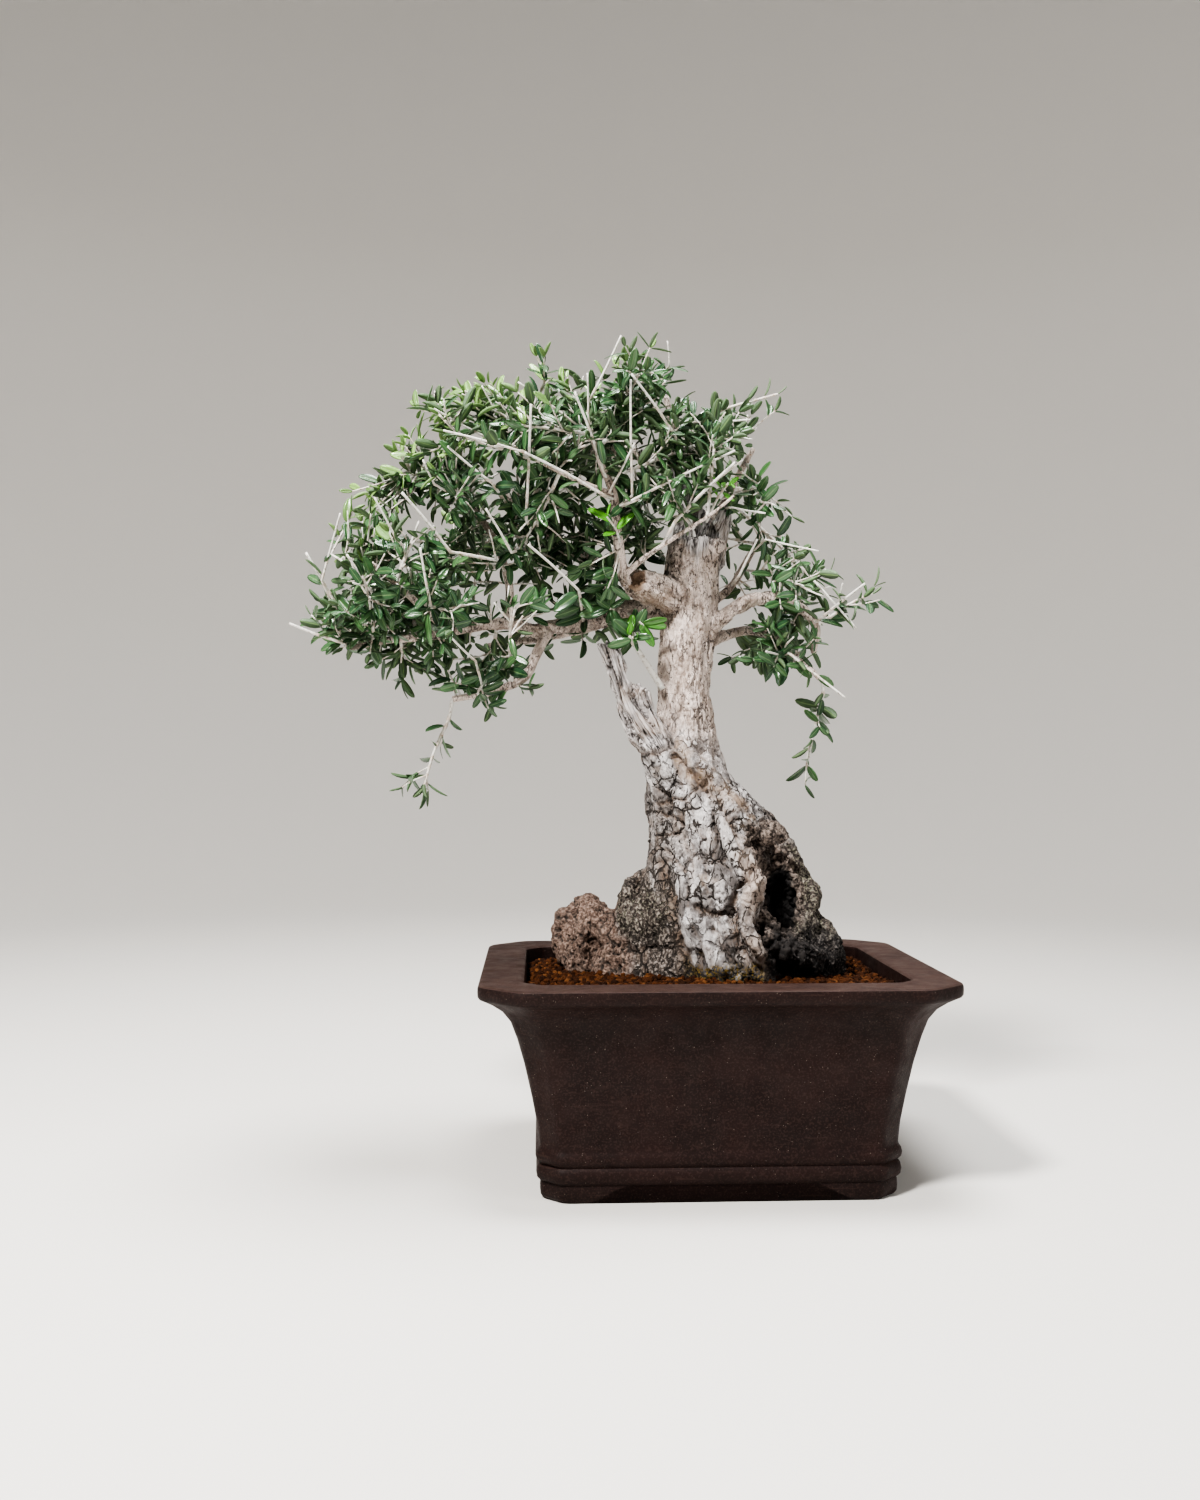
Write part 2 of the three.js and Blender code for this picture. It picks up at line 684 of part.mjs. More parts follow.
// Points spread evenly over a lobe, without those inside another lobe.
function lobeTips(lobe) {
  const goldenAngle = Math.PI * (3 - Math.sqrt(5));
  const inside = (point, other) => {
    const [x, y, z] = other.centre.map((middle, axis) => (
      (point.getComponent(axis) - middle) / other.radii[axis]
    ));
    return x * x + y * y + z * z < 0.86;
  };
  const tips = Array.from({ length: lobe.tips }, (_, index) => {
    const height = 1 - (2 * index + 1) / lobe.tips;
    const reach = Math.sqrt(1 - height * height);
    const turn = index * goldenAngle;
    const unit = [reach * Math.cos(turn), reach * Math.sin(turn), height];
    return new THREE.Vector3(...unit.map((value, axis) => lobe.centre[axis] + value * lobe.radii[axis]));
  });
  return tips.filter((tip) => crownLobes.every((other) => other === lobe || !inside(tip, other)));
}

// A stem from its limb to a tip, bowed a little to one side.
function bowedRoute(start, end, random) {
  const reach = end.clone().sub(start);
  const side = new THREE.Vector3(random() - 0.5, random() - 0.5, random() - 0.2).cross(reach).normalize();
  const bow = spray.bow * reach.length() * (2 * random() - 1);
  const middle = start.clone().lerp(end, 0.5).addScaledVector(side, bow);
  const curve = new THREE.QuadraticBezierCurve3(start, middle, end);
  return curve.getPoints(3);
}

// The nearest free anchor from which the stem reaches the tip without touching anything.
function rootedRoute(tip, anchors, random, owner) {
  const cost = (anchor) => {
    const reach = tip.clone().sub(anchor.point);
    return reach.length() * (1.3 - 0.3 * reach.normalize().dot(anchor.along));
  };
  const nearest = anchors.filter((anchor) => !anchor.used).sort((a, b) => cost(a) - cost(b)).slice(0, 30);
  for (const anchor of nearest) {
    const route = bowedRoute(anchor.point, tip, random);
    const towards = route[1].clone().sub(route[0]).normalize();
    const free = [route[0].clone().addScaledVector(towards, anchor.radius + 4), ...route.slice(1)];
    if (rodsAlong(free, [1.7, 1.6, 1.4, 1.2], owner).every(isClear)) {
      anchor.used = true;
      return route;
    }
  }
  return null;
}

// The place at a share of a route, with the directions along and across it.
function placeOn(frames, share) {
  const place = share * (frames.length - 1);
  const step = Math.min(Math.floor(place), frames.length - 2);
  const [start, end] = [frames[step].point, frames[step + 1].point];
  const tangent = end.clone().sub(start).normalize();
  const normal = frames[step].normal.clone();
  normal.addScaledVector(tangent, -normal.dot(tangent)).normalize();
  const point = start.clone().lerp(end, place - step);
  return { point, tangent, normal, side: tangent.clone().cross(normal) };
}

// A direction that leans away from a stem, at an angle round it.
const leaningOut = ({ tangent, normal, side }, lean, turn) => tangent.clone().multiplyScalar(Math.cos(lean))
  .addScaledVector(normal, Math.sin(lean) * Math.cos(turn))
  .addScaledVector(side, Math.sin(lean) * Math.sin(turn));

// A spray's skin while it grows: its points, its triangles, the buds on it, and the solids of the parts
// already on it. A bud is a triangle of the skin that a twig or a leaf can grow out of.
function addPoints(skin, points) {
  const first = skin.points.length;
  skin.points.push(...points);
  return points.map((_, index) => first + index);
}

// Three-sided wall between two rings of point numbers. Each side is cut along one diagonal or the other.
function wallFaces(from, to, otherDiagonals) {
  return [0, 1, 2].flatMap((side) => {
    const next = (side + 1) % 3;
    return otherDiagonals[side]
      ? [[from[side], from[next], to[side]], [from[next], to[next], to[side]]]
      : [[from[side], from[next], to[next]], [from[side], to[next], to[side]]];
  });
}

function addRing(skin, place, along, radius) {
  const middle = place.point.clone().addScaledVector(place.tangent, along);
  return addPoints(skin, [0, 1, 2].map((side) => middle.clone()
    .addScaledVector(place.normal, radius * Math.cos((side * 2 * Math.PI) / 3))
    .addScaledVector(place.side, radius * Math.sin((side * 2 * Math.PI) / 3))));
}

// The three ways to turn the root ring, the one with the least twist towards the next ring first.
function turnsOf(skin, root, ring) {
  const turned = (shift) => [0, 1, 2].map((side) => root[(side + shift) % 3]);
  const twist = (from) => from.reduce((sum, index, side) => (
    sum + skin.points[index].distanceToSquared(skin.points[ring[side]])
  ), 0);
  return [0, 1, 2].map(turned).sort((a, b) => twist(a) - twist(b));
}

// Whether the line between two points of the skin passes through a triangle of it.
function isPierced(skin, [from, to], face) {
  const reach = skin.points[to].clone().sub(skin.points[from]);
  const length = reach.length();
  const ray = new THREE.Ray(skin.points[from], reach.divideScalar(length));
  const [a, b, c] = face.map((index) => skin.points[index]);
  const hit = ray.intersectTriangle(a, b, c, false, new THREE.Vector3());
  return hit !== null && hit.distanceTo(skin.points[from]) < length;
}

// Whether two triangles of the skin cross, or lie folded on each other along a shared edge.
function areCrossing(skin, first, second) {
  const shared = first.filter((index) => second.includes(index));
  if (shared.length > 1) {
    const normals = [first, second].map((face) => (
      new THREE.Triangle(...face.map((index) => skin.points[index])).getNormal(new THREE.Vector3())
    ));
    return normals[0].dot(normals[1]) < -0.995;
  }
  const freeEdges = ([a, b, c]) => [[a, b], [b, c], [c, a]].filter((edge) => (
    !edge.some((index) => shared.includes(index))
  ));
  return freeEdges(first).some((edge) => isPierced(skin, edge, second))
    || freeEdges(second).some((edge) => isPierced(skin, edge, first));
}

// Corners of a pointed blade with a flat upper face and a keel: two pairs across, the tip and the keel.
function bladePoints({ root, direction, length, width, roll }) {
  const level = new THREE.Vector3(0, 0, 1).cross(direction).add(new THREE.Vector3(0.05, 0, 0));
  level.addScaledVector(direction, -level.dot(direction)).normalize();
  const across = level.applyAxisAngle(direction, roll);
  const above = direction.clone().cross(across);
  const at = (share, sideways, up) => root.clone()
    .addScaledVector(direction, share * length)
    .addScaledVector(across, (sideways * width) / 2)
    .addScaledVector(above, up);
  const [wide, narrow] = [leaf.widest, leaf.shoulder];
  return [
    at(wide, 1, 0), at(wide, -1, 0), at(wide, 0, -leaf.thickness),
    at(narrow, leaf.shoulderWidth, 0), at(narrow, -leaf.shoulderWidth, 0), at(1, 0, 0),
  ];
}

// Faces of a blade beyond its widest section, between the numbers of its corners.
const bladeFaces = ([right, left, keel, farRight, farLeft, tip]) => [
  [left, farLeft, right], [farLeft, farRight, right], [farLeft, tip, farRight],
  [keel, farLeft, left], [keel, tip, farLeft], [keel, farRight, tip], [keel, right, farRight],
];

// The same blade as a solid of its own, to see whether it would cross another part.
function loneBlade(blade) {
  const points = [blade.root.clone().addScaledVector(blade.direction, 1.5), ...bladePoints(blade)];
  const faces = [[0, 2, 1], [0, 3, 2], [0, 1, 3], ...bladeFaces([1, 2, 3, 4, 5, 6])];
  return toSolid(toTriangles(points, faces));
}

function toTriangles(points, faces) {
  const geometry = new THREE.BufferGeometry();
  const places = points.flatMap((point) => point.toArray());
  geometry.setAttribute('position', new THREE.Float32BufferAttribute(places, 3));
  geometry.setIndex(faces.flat());
  return geometry;
}

const isApart = (skin, solid) => skin.parts.every((part) => part.intersect(solid).isEmpty());

// Whether a part has room: away from the wood, from other sprays, and from the rest of its own.
const hasRoom = (skin, body, solid) => isClear(body) && isApart(skin, solid);

// Joins a ring to a triangle or ring of the skin, in the first way that crosses nothing: the wall between
// them, and the faces beyond the ring.
function joinFaces(skin, from, ring, beyond = []) {
  const bits = [0, 1, 2];
  const diagonals = Array.from({ length: 8 }, (_, choice) => bits.map((bit) => Boolean((choice >> bit) & 1)));
  const others = skin.faces.filter((face) => face !== from);
  const ways = turnsOf(skin, from, ring).flatMap((turned) => (
    diagonals.map((choice) => [...wallFaces(turned, ring, choice), ...beyond])
  ));
  return ways.find((faces) => faces.every((face, index) => (
    [...others, ...faces.slice(0, index)].every((other) => !areCrossing(skin, face, other))
  )));
}

// Grows a leaf out of a bud, if there is room for one at one of a few angles.
function growLeaf(skin, { triangle, place, turn }, random) {
  const root = new THREE.Vector3();
  triangle.forEach((index) => root.addScaledVector(skin.points[index], 1 / 3));
  for (let attempt = 0; attempt < leaf.attempts; attempt += 1) {
    const blade = {
      root,
      direction: turn === null ? place.tangent : leaningOut(place, between(leaf.lean, random()), turn),
      length: between(leaf.length, random()),
      width: between(leaf.width, random()),
      roll: leaf.twist * (random() - 0.5),
    };
    const reach = (distance) => root.clone().addScaledVector(blade.direction, distance);
    const body = rod(reach(2), reach(blade.length), blade.width / 2, skin.owner);
    const solid = loneBlade(blade);
    if (hasRoom(skin, body, solid)) {
      const corners = addPoints(skin, bladePoints(blade));
      const faces = joinFaces(skin, triangle, corners.slice(0, 3), bladeFaces(corners));
      if (faces) {
        skin.faces = [...skin.faces.filter((face) => face !== triangle), ...faces];
        skin.parts.push(solid);
        placed.push(body);
        return;
      }
      skin.points.length -= corners.length;
    }
  }
}

// A short side stem with a pair of leaves at its end.
function growTwig(skin, { triangle, place, turn }, random) {
  const direction = leaningOut(place, between(leaf.lean, random()), turn);
  const end = place.point.clone().addScaledVector(direction, between(spray.twigLength, random()));
  const start = place.point.clone().addScaledVector(direction, 3);
  const body = rod(start, end, spray.twigRadius, skin.owner);
  const solid = taperedTube([start, end], [spray.twigRadius, spray.twigRadius], 3);
  if (!hasRoom(skin, body, solid)) {
    return;
  }
  placed.push(body);
  skin.parts.push(solid);
  skin.faces = skin.faces.filter((face) => face !== triangle);
  const endPlace = framesAlong([place.point, end])[1];
  const ring = growNode(skin, triangle, endPlace, spray.twigRadius, Math.floor(3 * random()));
  growEnd(skin, ring, endPlace, spray.twigRadius, random);
}

// A node: a short length of stem with two opposite leaf buds, and a bud on its third side.
function growNode(skin, ring, place, radius, facet) {
  const low = addRing(skin, place, -spray.nodeLength / 2, radius);
  const high = addRing(skin, place, spray.nodeLength / 2, radius);
  skin.faces.push(...joinFaces(skin, ring, low));
  for (let step = 0; step < 3; step += 1) {
    const side = (facet + step) % 3;
    const next = (side + 1) % 3;
    const triangle = [low[side], low[next], high[next]];
    const outward = ((side + 0.5) * 2 * Math.PI) / 3;
    skin.faces.push(triangle, [low[side], high[next], high[side]]);
    if (step === 0) {
      skin.twigBuds.push({ triangle, place, turn: outward });
    } else {
      skin.leafBuds.push({ triangle, place, turn: outward + (step === 1 ? 1 : -1) * (Math.PI / 6) });
    }
  }
  return high;
}

// The pruned end of a stem: a bare stub, or one with a bud for a last leaf.
function growEnd(skin, ring, place, radius, random) {
  const triangle = addRing(skin, place, spray.nodeLength / 2 + spray.stub, radius);
  skin.faces.push(...joinFaces(skin, ring, triangle), triangle);
  if (random() < spray.endLeafShare) {
    skin.leafBuds.push({ triangle, place, turn: null });
  }
}

function spraySolid(route, seed, owner, limbCutter) {
  const random = seededRandom(seed);
  const frames = framesAlong(route);
  const length = route[0].distanceTo(route[route.length - 1]);
  const lastNode = 1 - (spray.stub + spray.nodeLength) / length;
  const places = spray.nodes.map((share) => placeOn(frames, share * lastNode));
  const radii = spray.nodes.map((share) => between(spray.stemRadius, share));
  const stemPoints = [route[0], ...places.map((place) => place.point)];
  const stem = taperedTube(stemPoints, [spray.stemRadius[0], ...radii], 3);
  const skin = { owner, points: [], faces: [], twigBuds: [], leafBuds: [], parts: [stem] };
  let ring = addRing(skin, placeOn(frames, 0), 0, spray.stemRadius[0]);
  skin.faces.push([ring[0], ring[2], ring[1]]);
  const facet = Math.floor(3 * random());
  places.forEach((place, index) => {
    ring = growNode(skin, ring, place, radii[index], facet + 2 * index);
  });
  growEnd(skin, ring, places[places.length - 1], radii[radii.length - 1], random);
  skin.twigBuds.slice(0, -1).forEach((bud) => growTwig(skin, bud, random));
  skin.leafBuds.forEach((bud) => growLeaf(skin, bud, random));
  return largestBody(toSolid(toTriangles(skin.points, skin.faces)).subtract(limbCutter));
}

function sprayRoutes(random) {
  const anchors = sprayAnchors();
  const routes = loneSprays.map((points) => points.map(vector));
  routes.forEach((route, index) => {
    placed.push(...rodsAlong(route, route.map(() => spray.stemRadius[0]), sprayName(index)));
    anchors.filter((anchor) => anchor.point.distanceTo(route[0]) < 8).forEach((anchor) => {
      anchor.used = true;
    });
  });
  crownLobes.flatMap(lobeTips).forEach((tip) => {
    const owner = sprayName(routes.length);
    const route = rootedRoute(tip, anchors, random, owner);
    if (route) {
      placed.push(...rodsAlong(route, [1.7, 1.6, 1.4, 1.2], owner));
      routes.push(route);
    }
  });
  return routes;
}

// ---------------------------------------------------------------- assembly

const bonsai = new THREE.Group();

function addPiece(name, geometry, colour, roughness) {
  const material = new THREE.MeshStandardMaterial({ color: colour, roughness, metalness: 0 });
  const mesh = new THREE.Mesh(geometry, material);
  mesh.name = name;
  bonsai.add(mesh);
}

addPiece('pot', toGeometry(potSolid()), colours.stoneware, 0.7);
addPiece('drain_screen_left', toGeometry(screenSolid(-pot.drainSpacing / 2)), colours.mesh, 0.6);
addPiece('drain_screen_right', toGeometry(screenSolid(pot.drainSpacing / 2)), colours.mesh, 0.6);
addPiece('soil', toGeometry(largestBody(soilSolid(woodSolid(fit)))), colours.soil, 0.95);
addPiece('trunk', toGeometry(trunkSolid()), colours.bark, 0.85);

placeWood();
const limbCutter = joinAll(Object.values(limbs).map((limb) => limbSolid(limb, fit)));
sprayRoutes(seededRandom(spray.seed)).forEach((route, index) => {
  const name = sprayName(index);
  addPiece(name, toGeometry(spraySolid(route, index + 1, name, limbCutter)), colours.leaf, 0.45);
});

// The origin is the middle of the whole object's footprint, on the ground.
const bounds = new THREE.Box3().setFromObject(bonsai);
const middle = bounds.getCenter(new THREE.Vector3());
bonsai.position.set(-middle.x, -middle.y, 0);
bonsai.updateMatrixWorld(true);

export default bonsai;
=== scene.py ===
import math
from itertools import product

import bpy
import numpy as np
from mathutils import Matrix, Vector
from mathutils.bvhtree import BVHTree


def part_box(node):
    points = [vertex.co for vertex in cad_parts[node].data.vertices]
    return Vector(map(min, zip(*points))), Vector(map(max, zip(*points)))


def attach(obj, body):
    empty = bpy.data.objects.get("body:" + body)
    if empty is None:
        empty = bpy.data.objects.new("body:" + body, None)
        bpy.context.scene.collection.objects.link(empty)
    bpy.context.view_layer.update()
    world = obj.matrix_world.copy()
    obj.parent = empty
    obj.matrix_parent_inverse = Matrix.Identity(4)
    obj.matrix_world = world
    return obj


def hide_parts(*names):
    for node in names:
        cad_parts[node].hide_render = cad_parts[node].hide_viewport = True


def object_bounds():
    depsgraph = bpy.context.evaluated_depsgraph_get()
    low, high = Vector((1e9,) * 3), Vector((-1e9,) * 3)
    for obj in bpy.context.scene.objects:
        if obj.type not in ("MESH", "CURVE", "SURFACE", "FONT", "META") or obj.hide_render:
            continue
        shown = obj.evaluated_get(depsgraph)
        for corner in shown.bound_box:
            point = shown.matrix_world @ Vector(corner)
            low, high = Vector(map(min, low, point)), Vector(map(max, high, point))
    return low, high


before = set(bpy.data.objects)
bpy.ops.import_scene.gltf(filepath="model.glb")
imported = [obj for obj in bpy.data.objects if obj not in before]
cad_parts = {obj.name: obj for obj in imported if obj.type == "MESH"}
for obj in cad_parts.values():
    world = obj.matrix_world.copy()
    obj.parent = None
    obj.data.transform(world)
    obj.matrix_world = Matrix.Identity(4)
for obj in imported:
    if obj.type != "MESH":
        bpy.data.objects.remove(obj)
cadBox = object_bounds()

# Tree and pot are worked out in millimetres from the middle of the pot, and put in place in metres.
mm = 0.001
potLow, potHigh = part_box("pot")
potMiddle = np.array([(potLow.x + potHigh.x) / 2, (potLow.y + potHigh.y) / 2, 0.0])
cadLow = (np.array(cadBox[0]) - potMiddle) / mm
cadHigh = (np.array(cadBox[1]) - potMiddle) / mm


# small tools: meshes

def toArray(rows):
    return np.array(rows, float)


def inPlace(points):
    return points * mm + potMiddle


def unit(vector):
    return vector / np.linalg.norm(vector)


def addObject(name, data):
    made = bpy.data.objects.new(name, data)
    bpy.context.scene.collection.objects.link(made)
    return made


def setShading(mesh, smooth=True):
    mesh.polygons.foreach_set("use_smooth", np.full(len(mesh.polygons), smooth))


def addMesh(name, points, faces, materials=(), faceSlots=None, values=None, smooth=True):
    mesh = bpy.data.meshes.new(name)
    mesh.from_pydata(inPlace(toArray(points)).tolist(), [], faces)
    for material in materials:
        mesh.materials.append(material)
    if faceSlots is not None:
        mesh.polygons.foreach_set("material_index", np.asarray(faceSlots, np.int32))
    setShading(mesh, smooth)
    for key, data in (values or {}).items():
        addValues(mesh, key, data)
    mesh.update()
    return addObject(name, mesh)


def addValues(mesh, key, data):
    kind, field = ("FLOAT_VECTOR", "vector") if data.ndim == 2 else ("FLOAT", "value")
    attribute = mesh.attributes.new(key, kind, "POINT")
    attribute.data.foreach_set(field, np.ascontiguousarray(data, np.float32).ravel())


def readVectors(piece, field):
    values = np.empty(len(piece.data.vertices) * 3)
    piece.data.vertices.foreach_get(field, values)
    return values.reshape(-1, 3)


def readPoints(piece):
    return (readVectors(piece, "co") - potMiddle) / mm


def writePoints(piece, points):
    piece.data.vertices.foreach_set("co", inPlace(points).ravel())
    piece.data.update()


# Adds a modifier with its settings to a piece and applies it.
def modify(piece, kind, **settings):
    modifier = piece.modifiers.new(kind, kind)
    for key, value in settings.items():
        setattr(modifier, key, value)
    graph = bpy.context.evaluated_depsgraph_get()
    old, piece.data = piece.data, bpy.data.meshes.new_from_object(piece.evaluated_get(graph))
    piece.modifiers.clear()
    bpy.data.meshes.remove(old)


def remesh(piece, voxel):
    modify(piece, "REMESH", mode="VOXEL", voxel_size=voxel * mm, use_smooth_shade=True)


def cutAway(piece, cutter):
    modify(piece, "BOOLEAN", operation="DIFFERENCE", solver="MANIFOLD", object=cutter)
    bpy.data.objects.remove(cutter)


# Thins a piece out to about so many triangles.
def thinOut(piece, triangles):
    modify(piece, "DECIMATE", ratio=min(1.0, triangles / (2 * len(piece.data.polygons))))


# Puts the skins of another piece into this one.
def addTo(piece, other):
    points = np.concatenate([readPoints(piece), readPoints(other)])
    first = len(piece.data.vertices)
    faces = [tuple(face.vertices) for face in piece.data.polygons]
    faces += [tuple(index + first for index in face.vertices) for face in other.data.polygons]
    old, extra = piece.data, other.data
    mesh = bpy.data.meshes.new(piece.name)
    mesh.from_pydata(inPlace(points).tolist(), [], faces)
    piece.data = mesh
    bpy.data.objects.remove(other)
    bpy.data.meshes.remove(extra)
    bpy.data.meshes.remove(old)


# Points and faces of a closed skin over rings of equally many points, with fans over both ends.
def loft(rings):
    count = len(rings[0])
    points = np.concatenate([*rings, [np.mean(rings[0], axis=0)], [np.mean(rings[-1], axis=0)]])
    sides = [(side, (side + 1) % count) for side in range(count)]
    faces = []
    for low in range(0, (len(rings) - 1) * count, count):
        high = low + count
        faces.extend([(low + side, low + nextSide, high + nextSide, high + side) for side, nextSide in sides])
    startHub, endHub, lastRing = len(points) - 2, len(points) - 1, (len(rings) - 1) * count
    for side, nextSide in sides:
        faces.append((startHub, nextSide, side))
        faces.append((endHub, lastRing + side, lastRing + nextSide))
    return points, faces


def joined(skins):
    points, faces, first = [], [], 0
    for skinPoints, skinFaces in skins:
        points.append(skinPoints)
        faces.extend([tuple(index + first for index in face) for face in skinFaces])
        first += len(skinPoints)
    return np.concatenate(points), faces


# A smooth line through the rows, which may hold more than three values each.
def splineThrough(rows, step):
    rows = toArray(rows)
    padded = np.vstack([2 * rows[0] - rows[1], rows, 2 * rows[-1] - rows[-2]])
    line = []
    for index in range(1, len(padded) - 2):
        before, start, end, after = padded[index - 1:index + 3]
        count = max(1, math.ceil(np.linalg.norm(end[:3] - start[:3]) / step))
        for t in np.arange(count) / count:
            line.append(0.5 * (2 * start + (end - before) * t
                               + (2 * before - 5 * start + 4 * end - after) * t * t
                               + (3 * start - before - 3 * end + after) * t ** 3))
    line.append(rows[-1])
    return toArray(line)


# Length of a line up to each of its points.
def lengthsAlong(line):
    return np.concatenate([[0], np.cumsum(np.linalg.norm(np.diff(line, axis=0), axis=1))])


# Directions along and across a line, which turn as little as they can.
def framesAlong(line):
    after = np.vstack([line[1:], line[-1:]])
    before = np.vstack([line[:1], line[:-1]])
    tangents = (after - before) / np.linalg.norm(after - before, axis=1)[:, None]
    normal = toArray([0, 0, 1] if abs(tangents[0, 2]) < 0.8 else [0, -1, 0])
    normals = []
    for tangent in tangents:
        normal = unit(normal - tangent * normal.dot(tangent))
        normals.append(normal)
    normals = toArray(normals)
    return tangents, normals, np.cross(tangents, normals)


def anglesOf(sides):
    return np.arange(sides) / sides * 2 * math.pi


def tubeRings(line, radii, sides, relief=None):
    tangents, normals, across = framesAlong(line)
    angles = anglesOf(sides)
    swell = np.ones((len(line), sides)) if relief is None else 1 + relief
    reach = radii[:, None] * swell
    return (line[:, None] + (reach * np.cos(angles))[..., None] * normals[:, None]
            + (reach * np.sin(angles))[..., None] * across[:, None])


# small tools: random numbers and noise

def seededRandom(seed):
    state = seed

    def product32(a, b):
        return (a * b) & 0xffffffff

    def draw():
        nonlocal state
        state = (state + 0x6d2b79f5) & 0xffffffff
        mixed = product32(state ^ (state >> 15), state | 1)
        mixed ^= (mixed + product32(mixed ^ (mixed >> 7), mixed | 61)) & 0xffffffff
        return (mixed ^ (mixed >> 14)) / 4294967296

    return draw


def hashed(cells, seed):
    x, y, z = (cells[..., axis].astype(np.uint32) for axis in range(3))
    mixed = x * np.uint32(0x8da6b343) ^ y * np.uint32(0xd8163841) ^ z * np.uint32(0xcb1ab31f)
    mixed ^= np.uint32((seed * 0x9e3779b9) & 0xffffffff)
    for shift, factor in ((16, 0x7feb352d), (15, 0x846ca68b)):
        mixed ^= mixed >> np.uint32(shift)
        mixed *= np.uint32(factor)
    mixed ^= mixed >> np.uint32(16)
    return mixed / 4294967296


def softNoise(points, seed):
    base = np.floor(points).astype(np.int64)
    part = points - base
    part = part * part * (3 - 2 * part)
    total = np.zeros(len(points))
    for corner in product((0, 1), repeat=3):
        weight = np.prod(np.where(corner, part, 1 - part), axis=-1)
        total += weight * hashed(base + corner, seed)
    return 2 * total - 1


def roughNoise(points, octaves, seed):
    parts = (softNoise(points * 2 ** octave, seed + octave) / 2 ** octave for octave in range(octaves))
    return sum(parts) / 1.6


# Distances to the nearest and the second nearest cell centre, and a value of the nearest cell.
def cellNoise(points, seed):
    base = np.floor(points).astype(np.int64)
    first, second = np.full(len(points), 9.0), np.full(len(points), 9.0)
    value = np.zeros(len(points))
    for offset in product((-1, 0, 1), repeat=3):
        cell = base + offset
        centre = cell + np.stack([hashed(cell, seed + part) for part in (1, 2, 3)], axis=-1)
        distance = np.linalg.norm(points - centre, axis=1)
        closer = distance < first
        second = np.where(closer, first, np.minimum(second, distance))
        value = np.where(closer, hashed(cell, seed + 4), value)
        first = np.where(closer, distance, first)
    return first, second, value


def smoothStep(low, high, values):
    share = np.clip((values - low) / (high - low), 0, 1)
    return share * share * (3 - 2 * share)


# small tools: shader nodes

def isSocket(value):
    return isinstance(value, bpy.types.NodeSocket)


def setSockets(tree, node, sockets):
    for socket, value in sockets.items():
        if isSocket(value):
            tree.links.new(value, node.inputs[socket])
        else:
            node.inputs[socket].default_value = value


def addNode(tree, kind, sockets=None, **settings):
    made = tree.nodes.new("ShaderNode" + kind)
    for key, value in settings.items():
        setattr(made, key, value)
    setSockets(tree, made, sockets or {})
    return made


def calc(tree, operation, first, second=0.0, clamp=False):
    return addNode(tree, "Math", {0: first, 1: second}, operation=operation, use_clamp=clamp).outputs[0]


def times(tree, first, second):
    return calc(tree, "MULTIPLY", first, second)


def plus(tree, first, second):
    return calc(tree, "ADD", first, second)


def minus(tree, first, second):
    return calc(tree, "SUBTRACT", first, second)


def calcVector(tree, operation, *parts):
    return addNode(tree, "VectorMath", dict(enumerate(parts)), operation=operation).outputs[0]


# Lays colours over the first one, each by its own share.
def layered(tree, colour, *layers):
    for share, top in layers:
        sides = [side if isSocket(side) else (*side, 1.0) for side in (colour, top)]
        colour = addNode(tree, "Mix", {0: share, 6: sides[0], 7: sides[1]}, data_type="RGBA").outputs[2]
    return colour


def spread(tree, value, low, high, toLow=0.0, toHigh=1.0):
    sockets = {"Value": value, "From Min": low, "From Max": high, "To Min": toLow, "To Max": toHigh}
    return addNode(tree, "MapRange", sockets, interpolation_type="SMOOTHSTEP").outputs[0]


def noiseAt(tree, vector, size, detail=4.0, roughness=0.55, distortion=0.0, output="Fac"):
    sockets = {"Vector": vector, "Scale": 1 / size, "Detail": detail, "Roughness": roughness,
               "Distortion": distortion}
    return addNode(tree, "TexNoise", sockets).outputs[output]


def cellsAt(tree, vector, size, feature="F1", output="Distance"):
    return addNode(tree, "TexVoronoi", {"Vector": vector, "Scale": 1 / size}, feature=feature).outputs[output]


# Place on the piece in millimetres.
def placeIn(tree, stretch=(1, 1, 1)):
    place = addNode(tree, "TexCoord").outputs["Object"]
    return calcVector(tree, "MULTIPLY", place, tuple(1 / (mm * value) for value in stretch))


def valueOf(tree, key, output="Fac"):
    return addNode(tree, "Attribute", attribute_name=key).outputs[output]


# A node group with named sockets; "build" gets its tree and its inputs and returns its outputs by name.
def makeGroup(name, inputs, outputs, build):
    group = bpy.data.node_groups.new(name, "ShaderNodeTree")
    kinds = {"value": "NodeSocketFloat", "colour": "NodeSocketColor", "vector": "NodeSocketVector"}
    for key, (kind, start) in inputs.items():
        socket = group.interface.new_socket(key, in_out="INPUT", socket_type=kinds[kind])
        if kind != "vector":
            socket.default_value = start
    for key, kind in outputs.items():
        group.interface.new_socket(key, in_out="OUTPUT", socket_type=kinds[kind])
    source = group.nodes.new("NodeGroupInput")
    target = group.nodes.new("NodeGroupOutput")
    for key, socket in build(group, source.outputs).items():
        group.links.new(socket, target.inputs[key])
    return group


def useGroup(tree, group, sockets):
    made = tree.nodes.new("ShaderNodeGroup")
    made.node_tree = group
    setSockets(tree, made, sockets)
    return made.outputs


